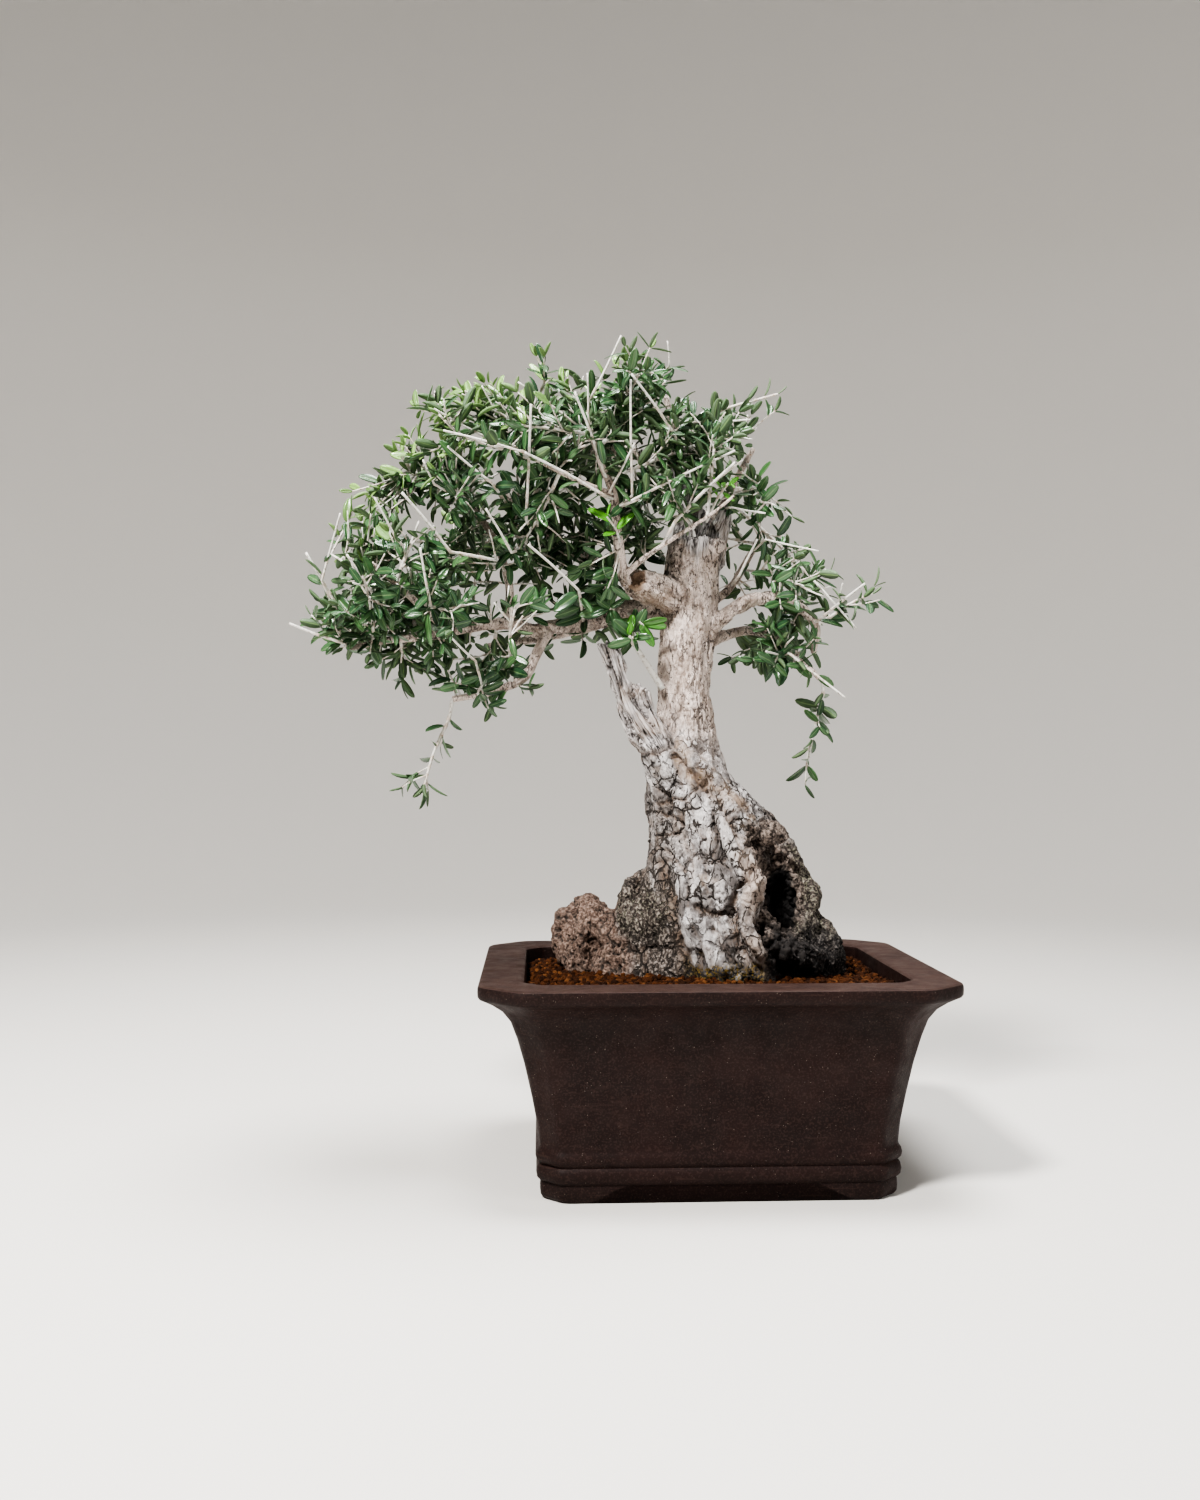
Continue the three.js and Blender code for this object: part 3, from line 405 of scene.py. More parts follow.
# Colour, roughness and height are functions that get the material's tree; roughness may be a number.
def makeMaterial(name, colour, roughness, height=None, bumpDistance=0, shine=None):
    material = bpy.data.materials.new(name)
    material.use_nodes = True
    tree = material.node_tree
    sockets = {"Base Color": colour(tree), "Roughness": roughness(tree) if callable(roughness) else roughness}
    if height is not None:
        bump = addNode(tree, "Bump", {"Height": height(tree), "Distance": bumpDistance * mm, "Strength": 1.0})
        sockets["Normal"] = bump.outputs[0]
    setSockets(tree, tree.nodes["Principled BSDF"], {**sockets, **(shine or {})})
    return material


print("camera and light")

camera = {
    "place": (-133.3, -1123.5, 324.5),
    "yaw": math.radians(2.44),
    "pitch": math.radians(0.43),
    "lens": 33.18,
    "sensor": 36,
    "clip": (0.05, 20),
}


def aim(piece, direction):
    piece.rotation_mode = "QUATERNION"
    piece.rotation_quaternion = direction.to_track_quat("-Z", "Y")


def addCamera():
    data = bpy.data.cameras.new("camera")
    data.sensor_width = camera["sensor"]
    data.lens = camera["lens"]
    data.clip_start, data.clip_end = camera["clip"]
    eye = addObject("camera", data)
    eye.location = inPlace(toArray(camera["place"]))
    yaw, pitch = camera["yaw"], camera["pitch"]
    aim(eye, Vector((math.sin(yaw) * math.cos(pitch), math.cos(yaw) * math.cos(pitch), math.sin(pitch))))
    bpy.context.scene.camera = eye


# Lamps and backdrop are set in metres.
lights = {
    "key": {"place": (-0.80, -1.10, 1.85), "size": 0.36, "watts": 72, "colour": (1.0, 0.98, 0.955)},
    "fill": {"place": (1.6, -1.2, 1.0), "size": 0.8, "watts": 9, "colour": (0.95, 0.975, 1.0)},
    "top": {"place": (0.10, 0.10, 2.3), "size": 1.0, "watts": 52, "colour": (1.0, 1.0, 1.0)},
}
lightTarget = Vector((0.0, 0.0, 0.32))
worldStrength = 0.25


def addLights():
    for name, light in lights.items():
        data = bpy.data.lights.new(name, "AREA")
        data.shape = "DISK"
        data.size = light["size"]
        data.energy = light["watts"]
        data.color = light["colour"]
        lamp = addObject(name, data)
        lamp.location = light["place"]
        aim(lamp, lightTarget - Vector(light["place"]))
    world = bpy.data.worlds.new("studio")
    world.use_nodes = True
    background = world.node_tree.nodes["Background"]
    background.inputs["Color"].default_value = (1.0, 1.0, 1.0, 1)
    background.inputs["Strength"].default_value = worldStrength
    bpy.context.scene.world = world


# Pale paper that runs flat under the pot and curves up far away on every side.
backdrop = {
    "flat": 1.9,
    "firstRing": 0.8,  # as a share of the flat part
    "bend": 1.8,
    "top": 4.2,
    "sides": 128,
    "steps": 16,
    "paper": (0.66, 0.64, 0.61, 1),
    "roughness": 0.9,
}


def addFloor():
    sides, flat, bend = backdrop["sides"], backdrop["flat"], backdrop["bend"]
    turns = np.linspace(0, 2 * math.pi, sides, endpoint=False)
    lifts = np.linspace(0, math.pi / 2, backdrop["steps"])
    curve = [(flat + bend * math.sin(lift), bend * (1 - math.cos(lift))) for lift in lifts]
    profile = [(backdrop["firstRing"] * flat, 0.0), *curve, (flat + bend, backdrop["top"])]
    points = [(radius * math.cos(turn), radius * math.sin(turn), height)
              for radius, height in profile for turn in turns]
    faces = [tuple(range(sides))]
    for ring, side in product(range(len(profile) - 1), range(sides)):
        low, high, nextSide = ring * sides, (ring + 1) * sides, (side + 1) % sides
        faces.append((low + nextSide, low + side, high + side, high + nextSide))
    mesh = bpy.data.meshes.new("floor")
    mesh.from_pydata(points, [], faces)
    setShading(mesh)
    mesh.materials.append(makeMaterial("floorPaper", lambda tree: backdrop["paper"], backdrop["roughness"]))
    floor = addObject("floor", mesh)


addCamera()
addLights()
addFloor()

print("materials")


# Fine fibres along the wood: pale and dark streaks.
def buildFibres(tree, inputs):
    fine = noiseAt(tree, inputs["Grain"], 1.3, detail=3)
    broad = noiseAt(tree, inputs["Grain"], 5.5, detail=4, distortion=0.6)
    both = plus(tree, times(tree, fine, 0.55), times(tree, broad, 0.45))
    return {"Streaks": spread(tree, both, 0.36, 0.64), "Lines": spread(tree, fine, 0.35, 0.45, 1.0, 0.0)}


barkPlates = {
    "squeeze": (1.0, 1.0, 0.6),  # makes the plates taller than wide
    "bendSize": 8.5,
    "bend": 9,
    # size of the plates, size of the cracked areas, where those start and are full, width of the cracks
    "sizes": ((10.5, 21.0, 0.42, 0.66, 0.075), (4.8, 12.0, 0.50, 0.68, 0.105)),
    "thinnest": 0.006,
    "softness": 1.45,  # in widths of a crack
}


# Crisp cracks and pits in old bark, a value for each plate between them, and how light the bark is.
def buildCracks(tree, inputs):
    place, bend = inputs["Place"], barkPlates["bend"]
    flat = calcVector(tree, "MULTIPLY", place, barkPlates["squeeze"])
    swirl = noiseAt(tree, flat, barkPlates["bendSize"], detail=5, roughness=0.5, output="Color")
    shift = calcVector(tree, "MULTIPLY_ADD", swirl, (bend,) * 3, (-bend / 2,) * 3)
    bent = calcVector(tree, "ADD", flat, shift)
    breaks = spread(tree, noiseAt(tree, place, 4.2, detail=3), 0.36, 0.52, 0.2, 1.0)
    wear = times(tree, inputs["Wear"], 0.10)
    found = []
    for size, cover, low, high, width in barkPlates["sizes"]:
        covered = plus(tree, noiseAt(tree, place, cover, detail=2), wear)
        reach = times(tree, spread(tree, covered, low, high, barkPlates["thinnest"], width), breaks)
        gap = calc(tree, "DIVIDE", cellsAt(tree, bent, size, "DISTANCE_TO_EDGE"), reach)
        found.append(calc(tree, "SUBTRACT", barkPlates["softness"], gap, clamp=True))
    plateSize = barkPlates["sizes"][0][0]
    plate = addNode(tree, "SeparateColor", {0: cellsAt(tree, bent, plateSize, output="Color")}).outputs[0]
    pits = spread(tree, noiseAt(tree, flat, 3.4, detail=5, roughness=0.6), 0.34, 0.40, 1.0, 0.0)
    return {"Cracks": calc(tree, "MAXIMUM", *found), "Pits": pits, "Plate": plate,
            "Tone": noiseAt(tree, flat, 12.0, detail=5, roughness=0.6)}


fibres = makeGroup("fibres", {"Grain": ("vector", None)}, {"Streaks": "value", "Lines": "value"}, buildFibres)
cracks = makeGroup("cracks", {"Place": ("vector", None), "Wear": ("value", 0.0)},
                   {"Cracks": "value", "Pits": "value", "Plate": "value", "Tone": "value"}, buildCracks)

wood = {
    "plate": (0.67, 0.645, 0.64),
    "plateDim": (0.165, 0.15, 0.145),
    "crack": (0.030, 0.023, 0.019),
    "cream": (0.78, 0.67, 0.615),
    "fissure": (0.21, 0.145, 0.105),
    "ochre": (0.33, 0.195, 0.085),
    "dim": (0.072, 0.057, 0.048),
    "dimPale": (0.28, 0.242, 0.218),
    "grey": (0.098, 0.086, 0.080),
    "greyPale": (0.68, 0.645, 0.64),
    "greyDark": (0.034, 0.028, 0.028),
    "ridge": (0.40, 0.31, 0.245),
    "burl": (0.105, 0.064, 0.048),
    "burlPale": (0.29, 0.208, 0.168),
    "hollow": (0.31, 0.25, 0.215),
    "lip": (0.45, 0.38, 0.34),
    # Char, and painted shade in the hollow's depths and at the trunk's foot.
    "charAndPaintedShade": (0.012, 0.010, 0.010),
    "charAndShadePale": (0.135, 0.118, 0.112),
    "rot": (0.37, 0.265, 0.195),
    "moss": (0.20, 0.135, 0.030),
    "lichen": (0.27, 0.255, 0.19),
}

# Values on the wood's meshes, each the share of one kind of wood or mark.
woodValues = ("old", "dead", "burl", "ridge", "charAndPaintedShade", "moss", "lichen", "rot", "inside", "dim", "lip", "calm",
              "groove", "crack")


# What the colours of the wood share: the mesh's values, specks, patches, fibres and fine cracks.
def woodMarks(tree):
    place = placeIn(tree)
    marks = {key: valueOf(tree, key) for key in woodValues}
    marks["patches"] = noiseAt(tree, place, 22.0, detail=4)
    marks["specks"] = noiseAt(tree, place, 2.2, detail=3)
    marks["fibres"] = useGroup(tree, fibres, {"Grain": valueOf(tree, "grain", "Vector")})
    marks["fine"] = useGroup(tree, cracks, {"Place": place, "Wear": marks["dim"]})
    return marks


# Old bark in plates, with painted shade in its grooves and paler wood on the hollow's lip.
def plateColour(tree, marks):
    fine, specks, calm = marks["fine"], marks["specks"], marks["calm"]
    tone = plus(tree, times(tree, fine["Tone"], 0.8), times(tree, fine["Plate"], 0.2))
    tone = plus(tree, tone, times(tree, calm, 0.02))
    # Darker bark where dim is set; its darkness is partly painted shade.
    dim = layered(tree, wood["dim"], (spread(tree, specks, 0.44, 0.62), wood["dimPale"]))
    # Grooves and folds are painted darker as shade.
    paintedGrooveShade = times(tree, marks["groove"], spread(tree, specks, 0.36, 0.54, 0.2, 0.75))
    lip = layered(tree, wood["hollow"], (marks["fibres"]["Streaks"], wood["lip"]))
    shown = minus(tree, 0.97, times(tree, calm, 0.35))
    return layered(
        tree, wood["plateDim"],
        (spread(tree, tone, 0.40, 0.62), wood["plate"]),
        (spread(tree, specks, 0.36, 0.60, 0.28, 0.0), wood["plateDim"]),
        (spread(tree, marks["patches"], 0.58, 0.74, 0.0, 0.35), wood["ochre"]),
        (times(tree, fine["Pits"], 0.4), wood["dim"]),
        (marks["dim"], dim),
        (paintedGrooveShade, wood["fissure"]),
        (times(tree, marks["crack"], 0.55), wood["crack"]),
        (marks["lip"], lip),
        (times(tree, fine["Cracks"], shown), wood["crack"]),
    )


# Pale bark of the upper trunk and the limbs, with small flakes.
def paleColour(tree, marks):
    fine, specks = marks["fine"], marks["specks"]
    mottle = spread(tree, specks, 0.3, 0.5, 0.6, 1.0)
    shade = times(tree, spread(tree, fine["Tone"], 0.38, 0.56, 0.5, 1.0), mottle)
    flakes = useGroup(tree, cracks, {"Place": placeIn(tree, (0.62, 0.62, 1.15))})
    return layered(
        tree, wood["fissure"],
        (shade, wood["cream"]),
        (spread(tree, marks["fibres"]["Lines"], 0.3, 1.0, 0.0, 0.3), wood["fissure"]),
        (times(tree, fine["Pits"], 0.55), wood["fissure"]),
        (spread(tree, specks, 0.62, 0.70, 0.0, 0.6), wood["ochre"]),
        (times(tree, marks["crack"], 0.7), wood["crack"]),
        (times(tree, flakes["Cracks"], 0.8), wood["crack"]),
    )


def deadColour(tree, marks):
    return layered(
        tree, wood["grey"],
        (marks["fibres"]["Streaks"], wood["greyPale"]),
        (marks["fibres"]["Lines"], wood["greyDark"]),
        (spread(tree, marks["patches"], 0.50, 0.64, 0.0, 0.3), wood["rot"]),
        (marks["crack"], wood["crack"]),
    )


def woodColour(tree):
    marks = woodMarks(tree)
    specks, streaks, cracked = marks["specks"], marks["fibres"]["Streaks"], (marks["crack"], wood["crack"])
    ridge = layered(tree, wood["fissure"], (streaks, wood["ridge"]),
                    (spread(tree, specks, 0.60, 0.68, 0.0, 0.9), wood["moss"]))
    burl = layered(tree, wood["burl"], (spread(tree, specks, 0.38, 0.62), wood["burlPale"]), cracked)
    inside = layered(tree, wood["dim"], (spread(tree, specks, 0.36, 0.56), wood["hollow"]), cracked)
    # Black of char and of painted shade, with paler specks, and full black in the hollow's inside.
    blackened = layered(tree, wood["charAndPaintedShade"], (spread(tree, specks, 0.50, 0.68), wood["charAndShadePale"]),
                    (marks["inside"], wood["charAndPaintedShade"]))
    return layered(
        tree, paleColour(tree, marks),
        (marks["old"], plateColour(tree, marks)),
        (marks["ridge"], ridge),
        (marks["burl"], burl),
        (marks["dead"], deadColour(tree, marks)),
        (marks["inside"], inside),
        (marks["rot"], wood["rot"]),
        (times(tree, spread(tree, specks, 0.48, 0.62, 0.0, 0.85), marks["lichen"]), wood["lichen"]),
        (marks["charAndPaintedShade"], blackened),
        (times(tree, spread(tree, specks, 0.46, 0.60), marks["moss"]), wood["moss"]),
    )


def woodHeight(tree):
    fibre = useGroup(tree, fibres, {"Grain": valueOf(tree, "grain", "Vector")})
    fine = useGroup(tree, cracks, {"Place": placeIn(tree), "Wear": valueOf(tree, "dim")})
    old = valueOf(tree, "old")
    along = minus(tree, 1.0, times(tree, old, 0.7))
    edges = minus(tree, times(tree, fine["Plate"], 1.6), times(tree, fine["Cracks"], 2.2))
    relief = plus(tree, times(tree, fibre["Streaks"], along), times(tree, fine["Tone"], 1.2))
    relief = plus(tree, relief, times(tree, edges, old))
    relief = minus(tree, relief, times(tree, fine["Pits"], 0.5))
    return plus(tree, relief, times(tree, noiseAt(tree, placeIn(tree), 1.1), 0.4))


barkMaterial = makeMaterial("bark", woodColour, 0.82, woodHeight, 0.7)

clay = {
    "body": (0.0180, 0.0070, 0.0060),
    "dim": (0.0120, 0.0049, 0.0042),
    "dust": (0.050, 0.027, 0.022),
    # Colour of up-facing surfaces: dust, and painted light from above.
    "topDustAndLight": (0.056, 0.031, 0.025),
    "speck": (0.24, 0.20, 0.165),
}


def clayColour(tree):
    place = placeIn(tree)
    cloud = noiseAt(tree, place, 42.0, detail=5)
    fine = noiseAt(tree, place, 1.5, detail=3)
    dust = noiseAt(tree, placeIn(tree, (1, 1, 0.4)), 14.0, detail=6, roughness=0.65)
    upward = addNode(tree, "SeparateXYZ", {0: addNode(tree, "NewGeometry").outputs["Normal"]}).outputs["Z"]
    # Up-facing surfaces are lighter: partly dust, partly painted light from above.
    dustAndTopLight = times(tree, spread(tree, upward, 0.45, 0.98), spread(tree, dust, 0.30, 0.62, 0.35, 0.8))
    speck = spread(tree, cellsAt(tree, place, 2.6), 0.08, 0.13, 1.0, 0.0)
    rare = spread(tree, noiseAt(tree, place, 6.0), 0.50, 0.60, 0.0, 0.8)
    scratch = noiseAt(tree, placeIn(tree, (26, 26, 1)), 1.6, detail=1)
    return layered(
        tree, clay["dim"],
        (spread(tree, cloud, 0.35, 0.65), clay["body"]),
        (spread(tree, fine, 0.48, 0.66, 0.0, 0.5), clay["dust"]),
        (spread(tree, dust, 0.54, 0.80, 0.0, 0.4), clay["dust"]),
        (dustAndTopLight, clay["topDustAndLight"]),
        (times(tree, speck, rare), clay["speck"]),
        (spread(tree, scratch, 0.71, 0.735, 0.0, 0.35), clay["dust"]),
    )


def clayHeight(tree):
    sand = noiseAt(tree, placeIn(tree), 0.9, detail=3)
    waves = noiseAt(tree, placeIn(tree), 18.0, detail=3)
    return plus(tree, times(tree, sand, 0.35), times(tree, waves, 1.6))


def clayRoughness(tree):
    return spread(tree, noiseAt(tree, placeIn(tree), 16.0), 0.3, 0.7, 0.48, 0.66)


def fineHeight(size):
    return lambda tree: noiseAt(tree, placeIn(tree), size)


clayMaterial = makeMaterial("stoneware", clayColour, clayRoughness, clayHeight, 0.5,
                            {"Specular IOR Level": 0.25})

grit = {
    "red": (0.078, 0.0265, 0.0085),
    "brown": (0.026, 0.0095, 0.0040),
    "pale": (0.155, 0.064, 0.023),
    "shade": (0.006, 0.0028, 0.0016),
}


# The tone of a piece of grit is its own random value; the shaded bed under the grit has tones below nought.
def gritColour(tree):
    tone = valueOf(tree, "tone")
    fine = noiseAt(tree, placeIn(tree), 1.4)
    colour = layered(
        tree, grit["brown"],
        (spread(tree, tone, 0.1, 0.75), grit["red"]),
        (spread(tree, tone, 0.75, 1.0), grit["pale"]),
        (spread(tree, fine, 0.35, 0.65, 0.0, 0.45), grit["brown"]),
    )
    return layered(tree, grit["shade"], (spread(tree, tone, -0.5, -0.1), colour))


gritMaterial = makeMaterial("bakedClay", gritColour, 0.95, fineHeight(0.8), 0.5, {"Specular IOR Level": 0.2})
screenMaterial = makeMaterial("meshPlastic", lambda tree: (0.02, 0.028, 0.024, 1), 0.6, fineHeight(1.0), 0.1)


# Tissue of a leaf: the midrib, the side veins and mottling, from the place across and along the blade.
def buildTissue(tree, inputs):
    across = calc(tree, "ABSOLUTE", inputs["Across"])
    slant = minus(tree, times(tree, inputs["Along"], 14.0), times(tree, across, 2.2))
    stripes = calc(tree, "ABSOLUTE", minus(tree, calc(tree, "FRACT", slant), 0.5))
    veins = times(tree, spread(tree, stripes, 0.40, 0.5), minus(tree, 1.0, across))
    return {"Rib": spread(tree, across, 0.04, 0.15, 1.0, 0.0), "Veins": veins,
            "Mottle": noiseAt(tree, inputs["Place"], 3.0, detail=3)}


tissue = makeGroup(
    "leafTissue",
    {"Across": ("value", 0.0), "Along": ("value", 0.0), "Place": ("vector", None)},
    {"Rib": "value", "Veins": "value", "Mottle": "value"},
    buildTissue,
)

foliage = {
    "upper": (0.022, 0.067, 0.030),
    "upperBright": (0.057, 0.142, 0.052),
    # Pale tips: young leaves, partly painted backlight.
    "upperYoungAndBacklit": (0.25, 0.42, 0.12),
    "upperFresh": (0.10, 0.34, 0.030),
    "rib": (0.15, 0.25, 0.10),
    "under": (0.105, 0.155, 0.088),
    "underPale": (0.26, 0.40, 0.15),
    "twig": (0.68, 0.66, 0.62),
    "twigDark": (0.27, 0.22, 0.17),
    "node": (0.40, 0.19, 0.065),
}


def tissueOf(tree):
    sockets = {"Across": valueOf(tree, "across"), "Along": valueOf(tree, "along"), "Place": placeIn(tree)}
    return useGroup(tree, tissue, sockets)


def upperColour(tree):
    parts = tissueOf(tree)
    return layered(
        tree, foliage["upper"],
        (spread(tree, valueOf(tree, "tone"), 0.35, 1.0), foliage["upperBright"]),
        (spread(tree, parts["Mottle"], 0.4, 0.7, 0.0, 0.3), foliage["upperBright"]),
        # Pale tips: young leaves, partly painted backlight.
        (valueOf(tree, "youthAndBacklight"), foliage["upperYoungAndBacklit"]),
        (valueOf(tree, "fresh"), foliage["upperFresh"]),
        (times(tree, parts["Veins"], 0.16), foliage["rib"]),
        (times(tree, parts["Rib"], 0.75), foliage["rib"]),
    )


def underColour(tree):
    return layered(
        tree, foliage["under"],
        # Pale tips: young leaves, partly painted backlight.
        (valueOf(tree, "youthAndBacklight"), foliage["underPale"]),
        (valueOf(tree, "fresh"), foliage["upperFresh"]),
        (spread(tree, valueOf(tree, "tone"), 0.0, 1.0, 0.0, 0.35), foliage["upperBright"]),
        (times(tree, tissueOf(tree)["Rib"], 0.6), foliage["underPale"]),
    )


def leafHeight(tree):
    parts = tissueOf(tree)
    return plus(tree, times(tree, parts["Veins"], -0.5), times(tree, parts["Rib"], -1.0))


def twigColour(tree):
    streak = noiseAt(tree, placeIn(tree), 2.4)
    return layered(
        tree, foliage["twig"],
        (spread(tree, streak, 0.50, 0.70, 0.0, 0.7), foliage["twigDark"]),
        (times(tree, valueOf(tree, "node"), 0.3), foliage["node"]),
    )


leafShine = {"Coat Weight": 0.4, "Coat Roughness": 0.18}
upperMaterial = makeMaterial("leafUpper", upperColour, 0.32, leafHeight, 0.12, leafShine)
underMaterial = makeMaterial("leafUnder", underColour, 0.62, leafHeight, 0.10)
twigMaterial = makeMaterial("twigBark", twigColour, 0.75, fineHeight(1.0), 0.25)

print("pot")

pot = {
    "rimHalfWidth": 180,
    "rimHalfDepth": 142.5,
    "depthPerWidth": 0.676,
    "waistHalfWidth": 135,
    "waistChamfer": (16, 15),
    "rimChamfer": (30.4, 27.5),
    "innerChamfer": 14,
    "floorTop": 28,
    "recess": 13,
    "footLength": 33,
    "footSlope": 35,
    "drainRadius": 13,
    "drainSpacing": 124,
    "soften": 0.3,  # rounded share of each cut corner
    "cornerPoints": 6,
    "wallPoints": 9,
    "slotFoot": 0.4,  # height at which a slot's slope starts
    "slotPoints": 15,
    "drainSides": 32,
    "sharpAngle": 38,
    # height and half width from the ground up, with two rolls over the feet
    "wall": [
        (0, 131.0), (1.2, 132.6), (3, 133.6), (7, 134), (11.5, 133.8), (13.3, 133.2), (14.2, 134.6),
        (16, 136.2), (19.8, 136.9), (23.4, 136.2), (25, 134.8), (26, 134.0), (27.2, 135.0), (29, 136.7),
        (32, 137.4), (35, 136.7), (37, 135.2), (39, 134.6), (44, 135.0), (55, 136.2), (75, 140),
        (100, 145.6), (119, 151), (132, 155.8), (140, 162), (145.5, 170), (148.8, 176.6), (149.7, 178.6),
        (151.4, 179.8), (154.5, 180), (157.6, 179.9), (159.2, 179.2), (159.9, 177.6), (160, 175),
    ],
    # height, half width and half depth from the rim down into the pot
    "cavity": [
        (160, 152, 112), (159.7, 147.6, 107.6), (158.6, 146.0, 106.1), (156, 145.6, 105.7),
        (150, 145.2, 105.4), (125, 139.1, 104.9), (100, 133, 104.5), (64, 127, 101.5), (28, 121, 98.5),
    ],
}


# Outline of a rectangle with cut corners, rounded where the cuts meet the walls.
def cornerCutRing(halfWidth, halfDepth, cutX, cutY, height):
    corners = []
    for signX, signY in ((1, -1), (1, 1), (-1, 1), (-1, -1)):
        ends = [(signX * (halfWidth - cutX), signY * halfDepth),
                (signX * halfWidth, signY * (halfDepth - cutY))]
        corners.extend(ends if signX * signY < 0 else ends[::-1])
    corners = toArray(corners)
    soften = pot["soften"] * min(cutX, cutY)
    ring = []
    for index, corner in enumerate(corners):
        farCorner = corners[(index + 1) % 8]
        before, after = corners[index - 1] - corner, farCorner - corner
        start = corner + before / np.linalg.norm(before) * soften
        end = corner + after / np.linalg.norm(after) * soften
        for t in np.linspace(0, 1, pot["cornerPoints"]):
            ring.append((1 - t) ** 2 * start + 2 * t * (1 - t) * corner + t * t * end)
        if index % 2 == 1:
            farStart = farCorner - after / np.linalg.norm(after) * soften
            ring.extend(end + (farStart - end) * t for t in np.linspace(0, 1, pot["wallPoints"] + 2)[1:-1])
    ring = toArray(ring)
    return np.column_stack([ring, np.full(len(ring), height)])


def wallHalfDepth(halfWidth):
    return pot["rimHalfDepth"] - (pot["rimHalfWidth"] - halfWidth) * pot["depthPerWidth"]


def wallRing(height, halfWidth):
    share = max((halfWidth - pot["waistHalfWidth"]) / (pot["rimHalfWidth"] - pot["waistHalfWidth"]), 0)
    cutX, cutY = (low + (high - low) * share for low, high in zip(pot["waistChamfer"], pot["rimChamfer"]))
    return cornerCutRing(halfWidth, wallHalfDepth(halfWidth), cutX, cutY, height)


# Slot under the floor, between two feet that slope up into it.
def footSlot(halfSpan, length, turned):
    flat, slope, low = halfSpan - pot["footLength"], pot["footSlope"], pot["slotFoot"]
    shares = np.linspace(0, 1, pot["slotPoints"])
    rise = [(-flat + slope * share, low + (pot["recess"] - low) * share * share * (3 - 2 * share))
            for share in shares]
    outline = [(-flat, -2), *rise, *[(-x, z) for x, z in rise[::-1]], (flat, -2)]
    ends = [toArray([(x, side * length / 2, z) for x, z in outline]) for side in (-1, 1)]
    if turned:
        ends = [end[:, [1, 0, 2]] * (-1, 1, 1) for end in ends]
    return addMesh("slot", *loft([ends[1], ends[0]]))


def drainHole(x):
    angles = np.linspace(0, 2 * math.pi, pot["drainSides"], endpoint=False)
    radius = pot["drainRadius"]
    ring = np.column_stack([x + radius * np.cos(angles), radius * np.sin(angles), 0 * angles])
    return addMesh("hole", *loft([ring + (0, 0, 5), ring + (0, 0, pot["floorTop"] + 6)]))


def makePot():
    outside = [wallRing(*row) for row in pot["wall"]]
    cut = pot["innerChamfer"]
    inside = [cornerCutRing(halfWidth, halfDepth, cut, cut, height)
              for height, halfWidth, halfDepth in pot["cavity"]]
    piece = addMesh("potBody", *loft([*outside, *inside]), [clayMaterial])
    waist = pot["waistHalfWidth"]
    cutAway(piece, footSlot(waist, 3 * pot["rimHalfDepth"], False))
    cutAway(piece, footSlot(wallHalfDepth(waist), 3 * pot["rimHalfWidth"], True))
    for side in (-1, 1):
        cutAway(piece, drainHole(side * pot["drainSpacing"] / 2))
    setShading(piece.data)
    piece.data.set_sharp_from_angle(angle=math.radians(pot["sharpAngle"]))
    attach(piece, "root")
    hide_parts("pot")


makePot()

print("wood")

# Trunk from the root plug to the broken top: height, centre x, centre y, half width, half depth.
trunkSections = [
    (112, 22, 26, 44, 30), (134, 25, 25, 72, 43), (150, 27, 25, 80, 50), (170, 29, 25, 76, 49),
    (191, 24, 25, 76, 47), (212, 17, 25, 67, 45), (235, 15, 26, 61, 42), (257, 14, 26, 57, 40),
    (273, 8, 26, 52, 38), (288, 1, 27, 46, 36), (301, -6, 27, 40, 34), (318, -12, 27, 33.5, 31),
    (339, -14, 27, 28, 28), (360, -13, 27, 23.5, 26), (385, -14, 27, 21.5, 25), (415, -12, 27, 22.5, 24.5),
    (450, -9, 27, 23, 24), (486, -7, 27, 22.5, 23), (508, -4, 27, 22, 21),
]
trunk = {
    "sides": 72,
    "step": 4,
    "rootRelief": 0.085,
    "topRelief": 0.035,
    "reliefTop": 380,
    "roughVoxel": 1.6,
    "voxel": 1.2,
    "faces": 188000,
    "stubRadius": 4.6,  # limbs thicker than this grow out of the trunk's own skin
    "buried": 140,  # height under which nothing shows
    "reliefFade": 200,  # height over which the relief of the roots fades out
    "dome": ((0.45, 0.86), (0.75, 0.55)),  # rise and radius of a rounded end, as shares of its last radius
    "massSides": 24,
    "stubSides": 18,
    "limbSides": 14,
    "limbStep": 3.2,
}

